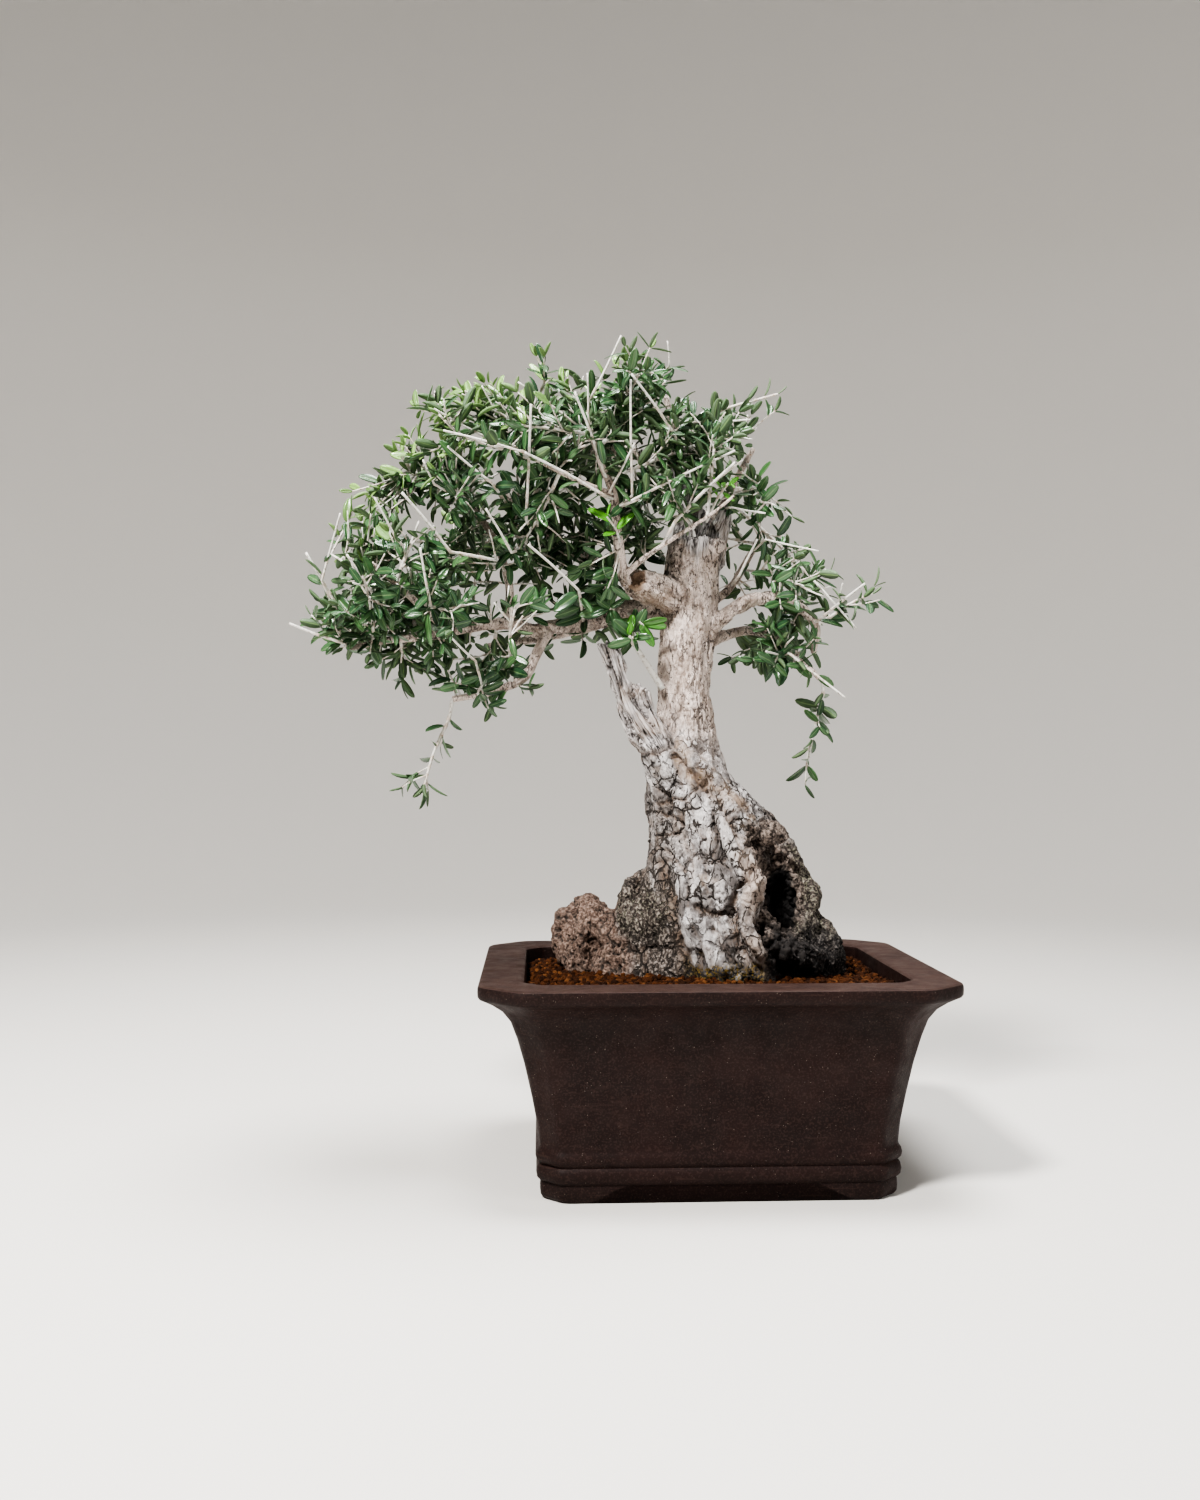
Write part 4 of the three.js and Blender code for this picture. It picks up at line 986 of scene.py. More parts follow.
# Masses that grow out of the trunk: x, y, z, radius along each.
masses = {
    "burl": [(-88, 55, 128, 17), (-92, 55, 148, 24), (-95, 55, 166, 27), (-96, 55, 186, 28),
             (-92, 55, 202, 20), (-88, 55, 212, 8)],
    "leftShoulder": [(-38, 24, 126, 18), (-48, 24, 150, 26), (-54, 28, 176, 26), (-58, 30, 200, 19),
                     (-54, 34, 216, 13), (-44, 34, 226, 8)],
    "frontRoot": [(24, -14, 126, 17), (20, -12, 156, 19), (8, -8, 200, 15), (-4, 2, 250, 8)],
    "rightRoot": [(98, 26, 126, 15), (100, 20, 152, 15), (96, 14, 178, 13), (84, 12, 200, 11),
                  (82, 13, 218, 11), (72, 15, 236, 11), (64, 18, 256, 11), (52, 20, 276, 8)],
    "rootKnob": [(99, 8, 128, 14), (101, 8, 150, 15), (100, 6, 170, 14), (96, 8, 183, 9)],
    "barkRidge": [(-26, 6, 336, 8), (-10, 2, 316, 13), (8, 2, 300, 11), (24, 0, 284, 13), (38, -4, 266, 8)],
    "hollowLip": [(12, -4, 294, 5), (20, -13, 264, 8), (31, -20, 241, 9), (35, -24, 222, 10),
                  (25, -28, 206, 9), (20, -29, 190, 9), (27, -30, 174, 10), (38, -26, 156, 12),
                  (46, -20, 130, 12)],
    "knob": [(-14, 24, 456, 15), (-34, 10, 463, 13.5), (-52, -3, 470, 10.5)],
    "leftSpur": [(-13, 25, 490, 11), (-15, 24, 514, 8), (-15, 24, 538, 2.5)],
    "rightSpur": [(9, 28, 488, 11), (16, 28, 516, 8), (26, 28, 549, 2)],
    "deadwood": [(-24, 18, 304, 18), (-38, 8, 332, 15), (-53, 2, 358, 12), (-68, -3, 388, 8),
                 (-84, -6, 418, 2.5)],
    "deadwoodFork": [(-38, 8, 328, 13), (-47, 4, 356, 9), (-54, 2, 388, 2.5)],
}

# What is eaten out of the old wood, given the same way.
hollows = {
    "base": [(37, -24, 274, 8), (43, -17, 259, 13), (51, -10, 241, 18), (58, -6, 221, 20),
             (60, -9, 200, 18), (56, -20, 184, 13), (54, -36, 172, 8)],
    "depths": [(62, 6, 226, 8), (65, 14, 212, 12), (67, 16, 194, 12), (66, 8, 181, 8)],
    "pit": [(14, -44, 203, 9), (15, -24, 203, 6), (16, -14, 204, 3)],
    "brokenTop": [(0, 20, 540, 16), (-1, 20, 512, 8), (-2, 22, 490, 3)],
    "knobFace": [(-70, -20, 475, 12), (-60, -11, 472, 9), (-53, -5, 469, 3.5)],
    "prongEnd": [(-104, -6, 434, 10), (-80, -6, 426, 9), (-66, -6, 420, 9), (-54, -6, 416, 8)],
    "forkEnd": [(-64, -6, 394, 5), (-54, -6, 392, 7.5), (-40, -6, 386, 8)],
    "prongGap": [(-59, -8, 394, 3.6), (-52, -10, 375, 3.2), (-46, -11, 359, 2.4), (-41, -11, 347, 1.2)],
}

# Crumbling wood that is left inside the hollow, given the same way.
ledges = {
    "upper": [(42, 0, 262, 6), (54, 4, 268, 7), (64, 8, 262, 6)],
    "middle": [(40, -17, 204, 7), (49, -12, 194, 7), (58, -8, 183, 7), (70, -6, 178, 8)],
    "lower": [(44, -24, 186, 9), (56, -22, 176, 11), (70, -20, 170, 12), (86, -12, 164, 12)],
    "rim": [(66, 2, 258, 5), (76, 2, 243, 5), (80, 4, 236, 3)],
    "rimLow": [(84, 4, 226, 5), (90, 2, 213, 7), (85, 0, 199, 6), (90, -2, 190, 5)],
}

# Pruned limbs, given the same way, and the first point from which sprays grow.
limbs = {
    "left": ([(-22, 34, 462, 12), (-50, 40, 452, 10), (-85, 45, 447, 8), (-133, 35, 434, 6),
              (-160, 25, 438, 5), (-190, 15, 434, 4.2), (-224, 5, 425, 3.4), (-258, -5, 421, 2.8),
              (-286, -10, 414, 2.2)], 4),
    "leftLow": ([(-128, 36, 433, 5), (-138, 25, 411, 4.2), (-148, 15, 392, 3.6), (-175, 5, 380, 3),
                 (-205, 0, 374, 2.4)], 2),
    "leftRise": ([(-160, 25, 440, 4), (-160, 20, 470, 3.4), (-170, 12, 502, 2.9), (-186, 2, 526, 2.5),
                  (-205, -10, 544, 2)], 1),
    "leftFan": ([(-190, 15, 434, 3.8), (-214, 34, 448, 3.2), (-240, 52, 464, 2.6), (-262, 62, 476, 2)], 1),
    "leftFront": ([(-208, 9, 429, 3.4), (-226, -22, 444, 2.9), (-246, -48, 462, 2.5),
                   (-262, -66, 474, 2)], 1),
    "backLow": ([(-60, 42, 450, 6), (-96, 58, 438, 4.6), (-136, 74, 430, 3.6), (-180, 84, 424, 2.4)], 1),
    "middle": ([(-16, 42, 462, 9), (-46, 56, 478, 7), (-80, 66, 492, 5.6), (-116, 70, 512, 4.4),
                (-148, 66, 538, 3.4), (-172, 62, 560, 2.4)], 2),
    "top": ([(-4, 34, 480, 10), (6, 46, 512, 7.5), (-4, 52, 545, 6.2), (-26, 52, 575, 5.2),
             (-56, 47, 586, 4.6), (-88, 40, 588, 4), (-120, 34, 594, 3.2), (-148, 28, 602, 2.4)], 3),
    "topRise": ([(-26, 52, 575, 3.8), (-22, 46, 604, 3), (-28, 38, 632, 2.2)], 1),
    "topRight": ([(4, 47, 514, 4.4), (20, 52, 540, 3.6), (34, 46, 566, 2.9), (46, 36, 588, 2.2)], 1),
    "front": ([(-30, 6, 466, 7), (-42, -6, 484, 5), (-60, -22, 508, 4), (-76, -36, 534, 3.2),
               (-86, -44, 556, 2.6), (-94, -50, 578, 2)], 3),
    "frontLeft": ([(-76, -36, 534, 2.8), (-108, -48, 544, 2.3), (-140, -56, 558, 1.9)], 1),
    "frontRight": ([(-44, -8, 487, 3.2), (-22, -28, 500, 2.5), (-2, -36, 516, 1.9)], 1),
    "right": ([(-2, 22, 430, 9), (16, 14, 442, 6.8), (31, 10, 453, 5.6), (55, 10, 459, 5),
               (80, 14, 452, 4.2), (95, 18, 436, 3.6), (94, 22, 414, 2.4)], 3),
    "rightBack": ([(2, 38, 422, 6), (26, 54, 432, 4.6), (52, 62, 436, 3.8), (80, 54, 420, 3),
                   (103, 42, 394, 2)], 1),
    "rightRise": ([(2, 40, 452, 4.6), (26, 46, 470, 3.4), (44, 50, 498, 2.8), (56, 50, 522, 2)], 1),
}


# The masses as the wood itself takes them; the sprays keep clear of the plainer ones above.
shapedMasses = {
    **masses,
    "leftShoulder": [(-38, 24, 126, 18), (-46, 24, 150, 24), (-52, 28, 176, 22), (-57, 30, 200, 17),
                     (-55, 33, 214, 12), (-46, 34, 226, 8)],
    "burl": [(-88, 55, 128, 17), (-92, 55, 148, 24), (-95, 55, 165, 27), (-95, 55, 180, 26),
             (-91, 55, 190, 21)],
    "hollowLip": [(12, -4, 294, 5), (20, -13, 264, 8), (32, -20, 241, 8.5), (37, -24, 222, 8.5),
                  (32, -28, 206, 8), (28, -29, 192, 8), (35, -30, 176, 9), (42, -27, 158, 11),
                  (50, -21, 130, 12)],
    "burlSide": [(-70, 30, 126, 21), (-68, 29, 148, 22), (-71, 34, 168, 18), (-79, 44, 190, 14)],
    "sideStub": [(4, 16, 500, 8), (14, 12, 502, 6)],
    "rootKnob": [(99, 8, 128, 14), (101, 8, 150, 15), (101, 6, 170, 15), (98, 8, 185, 12)],
    "deadwood": [(-24, 18, 304, 18), (-38, 8, 332, 15), (-54, 2, 356, 11.5), (-65, -3, 376, 9.5),
                 (-71, -5, 395, 8), (-76, -6, 410, 8.5), (-79, -6, 419, 9)],
    "deadwoodFork": [(-34, 8, 326, 12), (-39, 1, 348, 7.5), (-45, -3, 364, 5.5), (-51, -5, 376, 6.5),
                     (-53, -5, 387, 6.5)],
}

# Folds and deep cracks on the front of the old wood: width, depth (raised where negative), and the line as
# x and z.
folds = [
    (5, 6.0, [(-24.5, 328), (-10, 311), (4, 296), (17, 282), (23, 265), (27, 253)]),
    (3, 2.5, [(-7, 319), (10, 305), (27, 291), (39, 282)]),
    (4, 3.5, [(-56, 334), (-48, 330), (-36, 331), (-22, 339)]),
    (3, 4.6, [(-49, 306), (-36, 299), (-23, 293), (-10, 299), (1, 306)]),
    (3, 4.0, [(-49, 292), (-40, 288), (-30, 291)]),
    (2.8, 4.0, [(-48, 284), (-33, 281), (-19, 273)]),
    (2.8, 4.0, [(-49, 270), (-36, 263), (-24, 265)]),
    (2.8, 4.0, [(-48, 256), (-30, 250), (-19, 236)]),
    (2.8, 3.4, [(-47, 244), (-38, 239), (-29, 243)]),
    (2.6, 2.6, [(-9, 246), (2, 241), (14, 244)]),
    (2.6, 2.6, [(-14, 271), (-5, 266), (3, 257)]),
    (4, 3.0, [(-16, 290), (-20, 270), (-16, 253), (-11, 236), (-14, 221)]),
    (2.4, 2.2, [(4, 288), (10, 265), (7, 247), (19, 236)]),
    (15, -5.0, [(-3, 222), (11, 224)]),
    (5, 4.5, [(-9, 206), (0, 202), (8, 201), (12, 204)]),
    (6, 6.0, [(-37, 242), (-30, 218), (-29, 195), (-20, 172), (-13, 150)]),
    (5, 5.5, [(36, 236), (26, 221), (20, 201), (21, 184), (28, 169), (39, 158)]),
    (6, -5.5, [(33, 259), (41, 236), (30, 213), (28, 193), (37, 175), (53, 166)]),
    (11, -5.0, [(-10, 193), (-1, 175), (10, 160)]),
    (4, 3.5, [(4, 190), (13, 172), (23, 156)]),
    (3, 5.0, [(-61, 380), (-51, 364), (-43, 352)]),
    (2.5, 3.5, [(-76, 378), (-64, 356), (-51, 338)]),
    (3, 2.6, [(-35, 444), (-33, 425), (-32, 408), (-31, 390)]),
    (2.4, 2.0, [(-27, 450), (-26, 430), (-28, 410), (-27, 398)]),
    (2.0, 1.6, [(-17, 378), (-18, 366), (-21, 356), (-25, 344)]),
    (2.0, 1.4, [(-6, 432), (-9, 415), (-7, 398)]),
]


# How deep the folds go at each point, with their lines bent a little and none of them on the trunk's back.
def foldDepth(points):
    bend = np.column_stack([roughNoise(points / 8, 3, seed) for seed in (91, 92, 93)])
    flat = (points + 2.6 * bend)[:, [0, 2]]
    depth = np.zeros(len(points))
    for width, amount, line in folds:
        line = splineThrough([(x, 0, z) for x, z in line], 3)[:, [0, 2]]
        gap = np.full(len(points), 1e9)
        for spot in line:
            gap = np.minimum(gap, np.hypot(*(flat - spot).T))
        depth += amount * np.exp(-(1.6 * gap / width) ** 2)
    return depth * smoothStep(18, -2, points[:, 1])


def trunkSkin():
    rows = splineThrough([(x, y, height, halfWidth, halfDepth)
                          for height, x, y, halfWidth, halfDepth in trunkSections], trunk["step"])
    angles = anglesOf(trunk["sides"])
    rings = []
    for x, y, height, halfWidth, halfDepth in rows:
        age = np.clip((trunk["reliefTop"] - height) / trunk["reliefFade"], 0, 1)
        strength = trunk["topRelief"] + (trunk["rootRelief"] - trunk["topRelief"]) * age
        swell = 0.6 * np.sin(5 * angles + height / 46) + 0.45 * np.sin(8 * angles - height / 27 + 1.7)
        swell = 1 + strength * (swell + 0.35 * np.sin(3 * angles + height / 61 + 4.1))
        around = [x + halfWidth * swell * np.cos(angles), y + halfDepth * swell * np.sin(angles)]
        rings.append(np.column_stack([*around, np.full(len(angles), height)]))
    return loft(rings)


# A tube of old wood with lumps of its own phase and a domed end.
def massSkin(rows, phase):
    line = splineThrough(rows, trunk["step"])
    ahead, radius = unit(line[-1, :3] - line[-2, :3]), line[-1, 3]
    dome = [(*(line[-1, :3] + ahead * radius * rise), radius * share) for rise, share in trunk["dome"]]
    line = np.vstack([line, dome])
    angles = anglesOf(trunk["massSides"])
    steps = np.linspace(0, len(rows) - 1, len(line))[:, None]
    relief = 0.1 * np.sin(3 * angles + 2.1 * steps + phase)
    relief = relief + 0.09 * np.sin(5 * angles - 1.3 * steps + 2 * phase)
    return loft(tubeRings(line[:, :3], line[:, 3], trunk["massSides"], relief))


def massSkins(shapes, phaseStep):
    return [massSkin(rows, phaseStep * index) for index, rows in enumerate(shapes.values())]


def limbLine(rows):
    return splineThrough(rows, trunk["limbStep"])


# Limbs that the finer wood takes past the knob's face.
finerLimbs = {
    "front": [(-44, 16, 458, 7), (-60, 4, 464, 5.4), (-67, -10, 476, 4.6), (-71, -20, 494, 4.2),
              (-74, -29, 514, 3.8), (-76, -36, 534, 3.2), (-86, -44, 556, 2.6), (-94, -50, 578, 2)],
    "frontLeft": [(-76, -36, 534, 2.3), (-108, -48, 544, 1.9), (-140, -56, 558, 1.5)],
    "frontRight": [(-66, -12, 474, 2.6), (-50, -23, 487, 2.1), (-26, -34, 502, 1.7), (0, -41, 518, 1.4),
                   (18, -45, 532, 1.2)],
}


def limbShapes():
    return [finerLimbs.get(name, rows) for name, (rows, _) in limbs.items()]


# The thick part of each limb, which grows out of the trunk's skin.
def stubSkins():
    for rows in limbShapes():
        line = limbLine(rows)
        line = line[line[:, 3] >= trunk["stubRadius"]]
        if len(line) > 3:
            yield loft(tubeRings(line[:, :3], line[:, 3], trunk["stubSides"]))


# Nearest place on a line of wood: distance beyond its skin, and the place in its own directions.
def nearLine(points, rows):
    line = splineThrough(rows, 6)
    tangents, normals, across = framesAlong(line[:, :3])
    lengths = lengthsAlong(line[:, :3])
    best = np.full(len(points), 1e9)
    grain = np.zeros((len(points), 3))
    for index in range(len(line)):
        away = points - line[index, :3]
        alongPart = away @ tangents[index]
        beyond = np.linalg.norm(away, axis=1) - line[index, 3]
        closer = beyond < best
        own = np.column_stack([away @ normals[index], away @ across[index], lengths[index] + alongPart])
        best = np.where(closer, beyond, best)
        grain = np.where(closer[:, None], own, grain)
    return best, grain


grainStretch = 14.0  # how much longer than wide the marks of the grain are


# Distance of each point from the trunk and from every mass, and its place in the directions of the grain.
def woodDistances(points):
    trunkLine = [(x, y, height, (halfWidth + halfDepth) / 2)
                 for height, x, y, halfWidth, halfDepth in trunkSections]
    found = {key: nearLine(points, rows) for key, rows in [("trunk", trunkLine), *shapedMasses.items()]}
    distance = {key: value[0] for key, value in found.items()}
    grain = found["trunk"][1]
    best = distance["trunk"] + 2
    for key in ("deadwood", "deadwoodFork", "leftSpur", "rightSpur", "knob"):
        grain = np.where((distance[key] < best)[:, None], found[key][1], grain)
        best = np.minimum(best, distance[key])
    return distance, grain / (1, 1, grainStretch)


# Where each kind of wood starts and where it is full, in millimetres across, deep or high, or beyond a skin.
woodZones = {
    "plates": (352, 318), "deadFoot": (327, 333), "brokenTop": (500, 512), "burlSide": (-56, -68),
    "hollow": (4.5, 0.5), "depths": (6, 1), "paintedShadeDepths": (5, 1), "ledge": (5, 2), "cutFace": (4, 0),
    "shoulder": (4, -5), "shoulderTop": (242, 226), "leftSide": (-12, -36), "leftTop": (306, 284),
    "leftFoot": (-14, -26), "leftFootTop": (184, 168), "rightSide": (60, 72), "rightTop": (266, 250),
    "lip": (2.5, -2.5), "lipTop": (256, 236), "burntSide": (34, 58), "burntTop": (204, 176),
    "foot": (167, 155), "footSide": (-26, -14), "mossTop": (168, 156), "mossFront": (4, -14),
    "mossLeft": (-24, -6), "mossRight": (52, 34), "lichenTop": (226, 205), "lichenSide": (-22, -48),
    "lichenFoot": (168, 192), "rotTop": (466, 452), "rotSide": (-20, -30), "calmFront": (14, 4),
}


# The kind of wood at each point, and the directions of its grain.
def woodKinds(points):
    distance, grain = woodDistances(points)
    x, y, z = points.T
    wander = roughNoise(points / 26, 3, 5)
    fine = roughNoise(points / 9, 3, 8)

    def near(key, reach):
        return smoothStep(reach, -reach / 2, distance[key] - distance["trunk"] * 0.15 + 3 * fine)

    def zone(key, values):
        return smoothStep(*woodZones[key], values)

    dead = np.maximum.reduce([
        near("deadwood", 4), near("deadwoodFork", 4), near("leftSpur", 3), near("rightSpur", 3)])
    dead = dead * zone("deadFoot", z + 6 * fine - 0.2 * (x + 45))
    dead = np.maximum(dead, zone("brokenTop", z + 5 * fine + 1.6 * np.clip(13 - np.abs(x + 5), 0, 13)))
    hollow = nearLine(points, hollows["base"])[0]
    depths = nearLine(points, hollows["depths"])[0]
    inside = np.maximum(zone("hollow", hollow + 1.5 * fine), zone("depths", depths))
    for key in ("upper", "middle", "lower"):
        inside = np.maximum(inside, zone("ledge", nearLine(points, ledges[key])[0] + fine))
    inside = inside * smoothStep(0.6, -0.2, fine + 0.05 * (x - 78))
    old = zone("plates", z + 16 * wander + 0.25 * x)
    burl = np.maximum(near("burl", 5), near("burlSide", 4) * zone("burlSide", x + 8 * fine))
    ridge = np.maximum(near("barkRidge", 2.5), 0.45 * near("hollowLip", 2)) * (1 - dead) * (1 - inside)
    ridge = ridge * smoothStep(-0.35, 0.15, fine + 0.4 * wander)

    # Darker, more cracked bark on the shoulder, the right root, the left and right sides and the left foot;
    # the darkness is partly painted shade.
    shoulder = zone("shoulder", x + 47.6 - 0.436 * (235.8 - z) + 10 * fine)
    shoulder = shoulder * zone("shoulderTop", z + 10 * fine)
    left = 0.6 * zone("leftSide", x + 14 * wander) * zone("leftTop", z + 8 * fine)
    right = 0.95 * zone("rightSide", x + 6 * fine) * zone("rightTop", z)
    dim = np.maximum.reduce([shoulder, 0.85 * near("rightRoot", 4), left, right]) * (1 - burl)
    dim = np.maximum(dim, zone("leftFoot", x + 6 * fine) * zone("leftFootTop", z + 14 * fine) * (1 - burl))
    beside = distance["hollowLip"] - np.minimum(distance["frontRoot"], distance["trunk"])
    lip = 0.95 * zone("lip", beside + 2 * fine) * zone("lipTop", z + 6 * fine)

    # Black in the hollow's depths and at the trunk's foot by the soil is painted shade; the black on the
    # lower right side is char.
    blackened = zone("burntSide", x + 16 * wander) * zone("burntTop", z + 14 * fine)
    foot = zone("foot", z + 18 * fine)
    charAndPaintedShade = np.maximum.reduce([zone("paintedShadeDepths", depths), 0.94 * blackened, 0.85 * foot * zone("footSide", x)])
    moss = zone("mossTop", z + 12 * fine) * zone("mossFront", y + 8 * wander) * zone("mossLeft", x)
    moss = moss * zone("mossRight", x)
    lichen = 0.6 * zone("lichenTop", z + 14 * fine) * zone("lichenSide", x + 12 * wander)
    lichen = np.maximum(lichen * zone("lichenFoot", z), right) * (1 - dead) * (1 - burl) * (1 - inside)
    rot = zone("cutFace", nearLine(points, hollows["knobFace"])[0] + fine)
    rot = np.maximum(rot, 0.6 * near("knob", 2) * zone("rotTop", z + 8 * fine) * zone("rotSide", x))
    calm = smoothStep(1.1, 0.7, np.hypot((x + 3) / 27, (z - 178) / 27)) * zone("calmFront", y)
    return {"grain": grain, "old": old * (1 - dead), "dead": dead, "burl": burl, "ridge": 0.8 * ridge,
            "charAndPaintedShade": charAndPaintedShade, "moss": moss, "lichen": lichen, "rot": rot, "inside": inside, "dim": dim,
            "lip": lip, "calm": calm}


# How far each mark of the wood stands up or sinks in, in millimetres.
markDepths = {
    "plate": 1.7, "plateCrack": 1.9, "smallPlate": 0.6, "smallCrack": 0.5, "fold": 6.5,
    "flake": 1.8, "flakeEdge": 1.3, "fissure": 1.1, "paleWave": 1.6,
    "fibre": 2.4, "split": 3.0, "deadWave": 2.0,
    "burlLump": 4.4, "pore": 1.8,
    "chunk": 4.6, "chunkEdge": 2.6, "shred": 4.2,
    "oldWave": 2.4, "wave": 0.6,
}


# Cells between cracks: a value for each cell, and how deep in a crack each point lies.
def crackedCells(points, size, seed, width, full=0.0):
    first, second, value = cellNoise(points / size, seed)
    return value, smoothStep(width, full, second - first)


def patches(points, size, seed, low, high):
    return smoothStep(low, high, roughNoise(points / size, 2, seed))


# Narrow lines along the grain, where a noise crosses nought.
def linesAlong(grain, size, octaves, seed, width):
    return smoothStep(width, 0.0, np.abs(roughNoise(grain / size, octaves, seed)))


# Each kind of wood gives its relief, and how deep in a crack each point lies.
def plateRelief(points, warped, calm):
    wide = patches(points, 24, 33, -0.25, 0.45)
    plate, crack = crackedCells(warped, (10, 10, 17), 31, 0.04 + 0.10 * wide)
    crack = crack * patches(points, 17, 35, -0.5, 0.1)
    small, smallCrack = crackedCells(warped, (4.4, 4.4, 6.6), 37, 0.10, 0.01)
    smallCrack = smallCrack * patches(points, 14, 39, -0.1, 0.3)
    relief = markDepths["plate"] * (plate - 0.5) + markDepths["smallPlate"] * (small - 0.5)
    relief = relief - markDepths["plateCrack"] * crack - markDepths["smallCrack"] * smallCrack
    return relief * (1 - 0.6 * calm), np.clip(crack + 0.3 * smallCrack, 0, 1)


def paleRelief(points, warped, grain):
    fissure = linesAlong(grain, (3.4, 3.4, 1.0), 3, 41, 0.12)
    flake, edge = crackedCells(warped, (5.2, 5.2, 9), 43, 0.12)
    edge = edge * patches(points, 11, 45, -0.2, 0.2)
    relief = markDepths["flake"] * (flake - 0.5) - markDepths["fissure"] * fissure
    relief = relief - markDepths["flakeEdge"] * edge
    relief = relief + markDepths["paleWave"] * roughNoise(points / (11, 11, 20), 3, 47)
    return relief, np.maximum(0.65 * fissure, 0.6 * edge)


def deadRelief(points, grain):
    split = linesAlong(grain, (6, 6, 6), 2, 53, 0.07)
    relief = markDepths["fibre"] * roughNoise(grain / (2.6, 2.6, 2.8), 3, 51) - markDepths["split"] * split
    return relief + markDepths["deadWave"] * roughNoise(points / (10, 10, 14), 3, 55), split


def burlRelief(points, warped):
    pore = smoothStep(0.42, 0.18, cellNoise(warped / 4.6, 61)[0])
    return markDepths["burlLump"] * roughNoise(points / 13, 4, 63) - markDepths["pore"] * pore, pore


def crumbRelief(points, warped):
    chunk, edge = crackedCells(warped, 7.0, 67, 0.16)
    relief = markDepths["chunk"] * (chunk - 0.5) - markDepths["chunkEdge"] * edge
    return relief + markDepths["shred"] * (0.3 - np.abs(roughNoise(points / 9, 4, 65))), edge


# Relief of the wood in millimetres along its normals, with how deep each point lies in a crack or a groove.
def woodRelief(points, kinds):
    grain, inside, dead, burl = kinds["grain"], kinds["inside"], kinds["dead"], kinds["burl"]
    old = kinds["old"] * (1 - inside)
    bark = np.clip(1 - kinds["old"] - dead - burl, 0, 1)
    warped = points + 4.5 * np.column_stack([roughNoise(points / 12, 4, seed) for seed in (21, 22, 23)])
    plates, plateCrack = plateRelief(points, warped, kinds["calm"])
    pale, paleCrack = paleRelief(points, warped, grain)
    bare, split = deadRelief(points, grain)
    burled, pore = burlRelief(points, warped)
    crumb, crumbEdge = crumbRelief(points, warped)

    # old wood stands in folds that run with the grain
    fold = np.abs(roughNoise(grain / (19, 19, 7), 3, 71))
    groove = smoothStep(0.10, 0.0, fold)
    standing = markDepths["fold"] * (np.minimum(fold, 0.5) - 0.22)

    broad = (markDepths["oldWave"] * roughNoise(points / 30, 3, 75) * np.maximum(old, burl)
             + markDepths["wave"] * roughNoise(points / 10, 3, 73))
    cut = foldDepth(points) * (1 - inside) * (1 - burl)
    relief = broad - cut + old * (plates + standing * (1 - burl)) + bark * pale + dead * bare + burl * burled
    relief += crumb * np.maximum(inside, 0.5 * kinds["rot"])
    crack = old * plateCrack + bark * paleCrack + dead * split + burl * pore + inside * crumbEdge
    crack = np.clip(np.maximum(crack, 0.8 * bark * np.clip(cut / 2, 0, 1)), 0, 1)
    return relief, {"crack": crack, "groove": np.maximum(0.6 * groove * old, np.clip(cut / 4, 0, 1))}


# The trunk's block of wood, with the hollows eaten out, the ledges left in them and nothing under the soil.
def trunkBlock():
    skins = [trunkSkin(), *massSkins(shapedMasses, 1.9), *stubSkins()]
    piece = addMesh("trunkWood", *joined(skins), [barkMaterial])
    remesh(piece, trunk["roughVoxel"])
    cutter = addMesh("eaten", *joined(massSkins(hollows, 2.3)))
    remesh(cutter, trunk["roughVoxel"])
    cutAway(piece, cutter)
    ground = toArray([(x, y, trunk["buried"])
                      for x, y in ((-200, -140), (200, -140), (200, 140), (-200, 140))])
    cutAway(piece, addMesh("ground", *loft([ground - (0, 0, 60), ground])))
    addTo(piece, addMesh("ledges", *joined(massSkins(ledges, 3.1))))
    remesh(piece, trunk["voxel"])
    return piece


def makeTrunk():
    piece = trunkBlock()
    points = readPoints(piece)
    kinds = woodKinds(points)
    relief, marks = woodRelief(points, kinds)
    writePoints(piece, points + readVectors(piece, "normal") * relief[:, None])
    for key, data in {**kinds, **marks}.items():
        addValues(piece.data, key, data)
    thinOut(piece, trunk["faces"])
    setShading(piece.data)
    piece.data.materials.clear()
    piece.data.materials.append(barkMaterial)
    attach(piece, "root")
    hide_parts("trunk")
    print("trunk faces", len(piece.data.polygons))
    return piece


trunkPiece = makeTrunk()


# The thin part of each limb, with lumps and fissures that run along it.
def makeLimbs():
    skins, grains = [], []
    sides = trunk["limbSides"]
    angles = anglesOf(sides)
    for rows in limbShapes():
        line = limbLine(rows)
        line = line[line[:, 3] < trunk["stubRadius"] + 0.5]
        lengths = lengthsAlong(line[:, :3])
        around = np.stack([np.cos(angles)[None] * line[:, 3:4], np.sin(angles)[None] * line[:, 3:4],
                           np.repeat(lengths[:, None], sides, axis=1)], axis=-1).reshape(-1, 3)
        lumps = roughNoise(around / (3, 3, 9) + len(skins) * 17, 3, 81).reshape(len(line), sides)
        skins.append(loft(tubeRings(line[:, :3], line[:, 3], sides, 0.16 * lumps)))
        ends = [(0, 0, 0), (0, 0, lengths[-1])]
        grains.append(np.vstack([around, ends]) / (1, 1, grainStretch))
    points, faces = joined(skins)
    grain = np.concatenate(grains)
    values = {key: np.zeros(len(points)) for key in woodValues}
    values.update(grain=grain, crack=0.3 * linesAlong(grain, (3.2, 3.2, 1.6), 3, 83, 0.14))
    piece = addMesh("limbs", points, faces, [barkMaterial], values=values)
    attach(piece, "root")


makeLimbs()

print("soil")

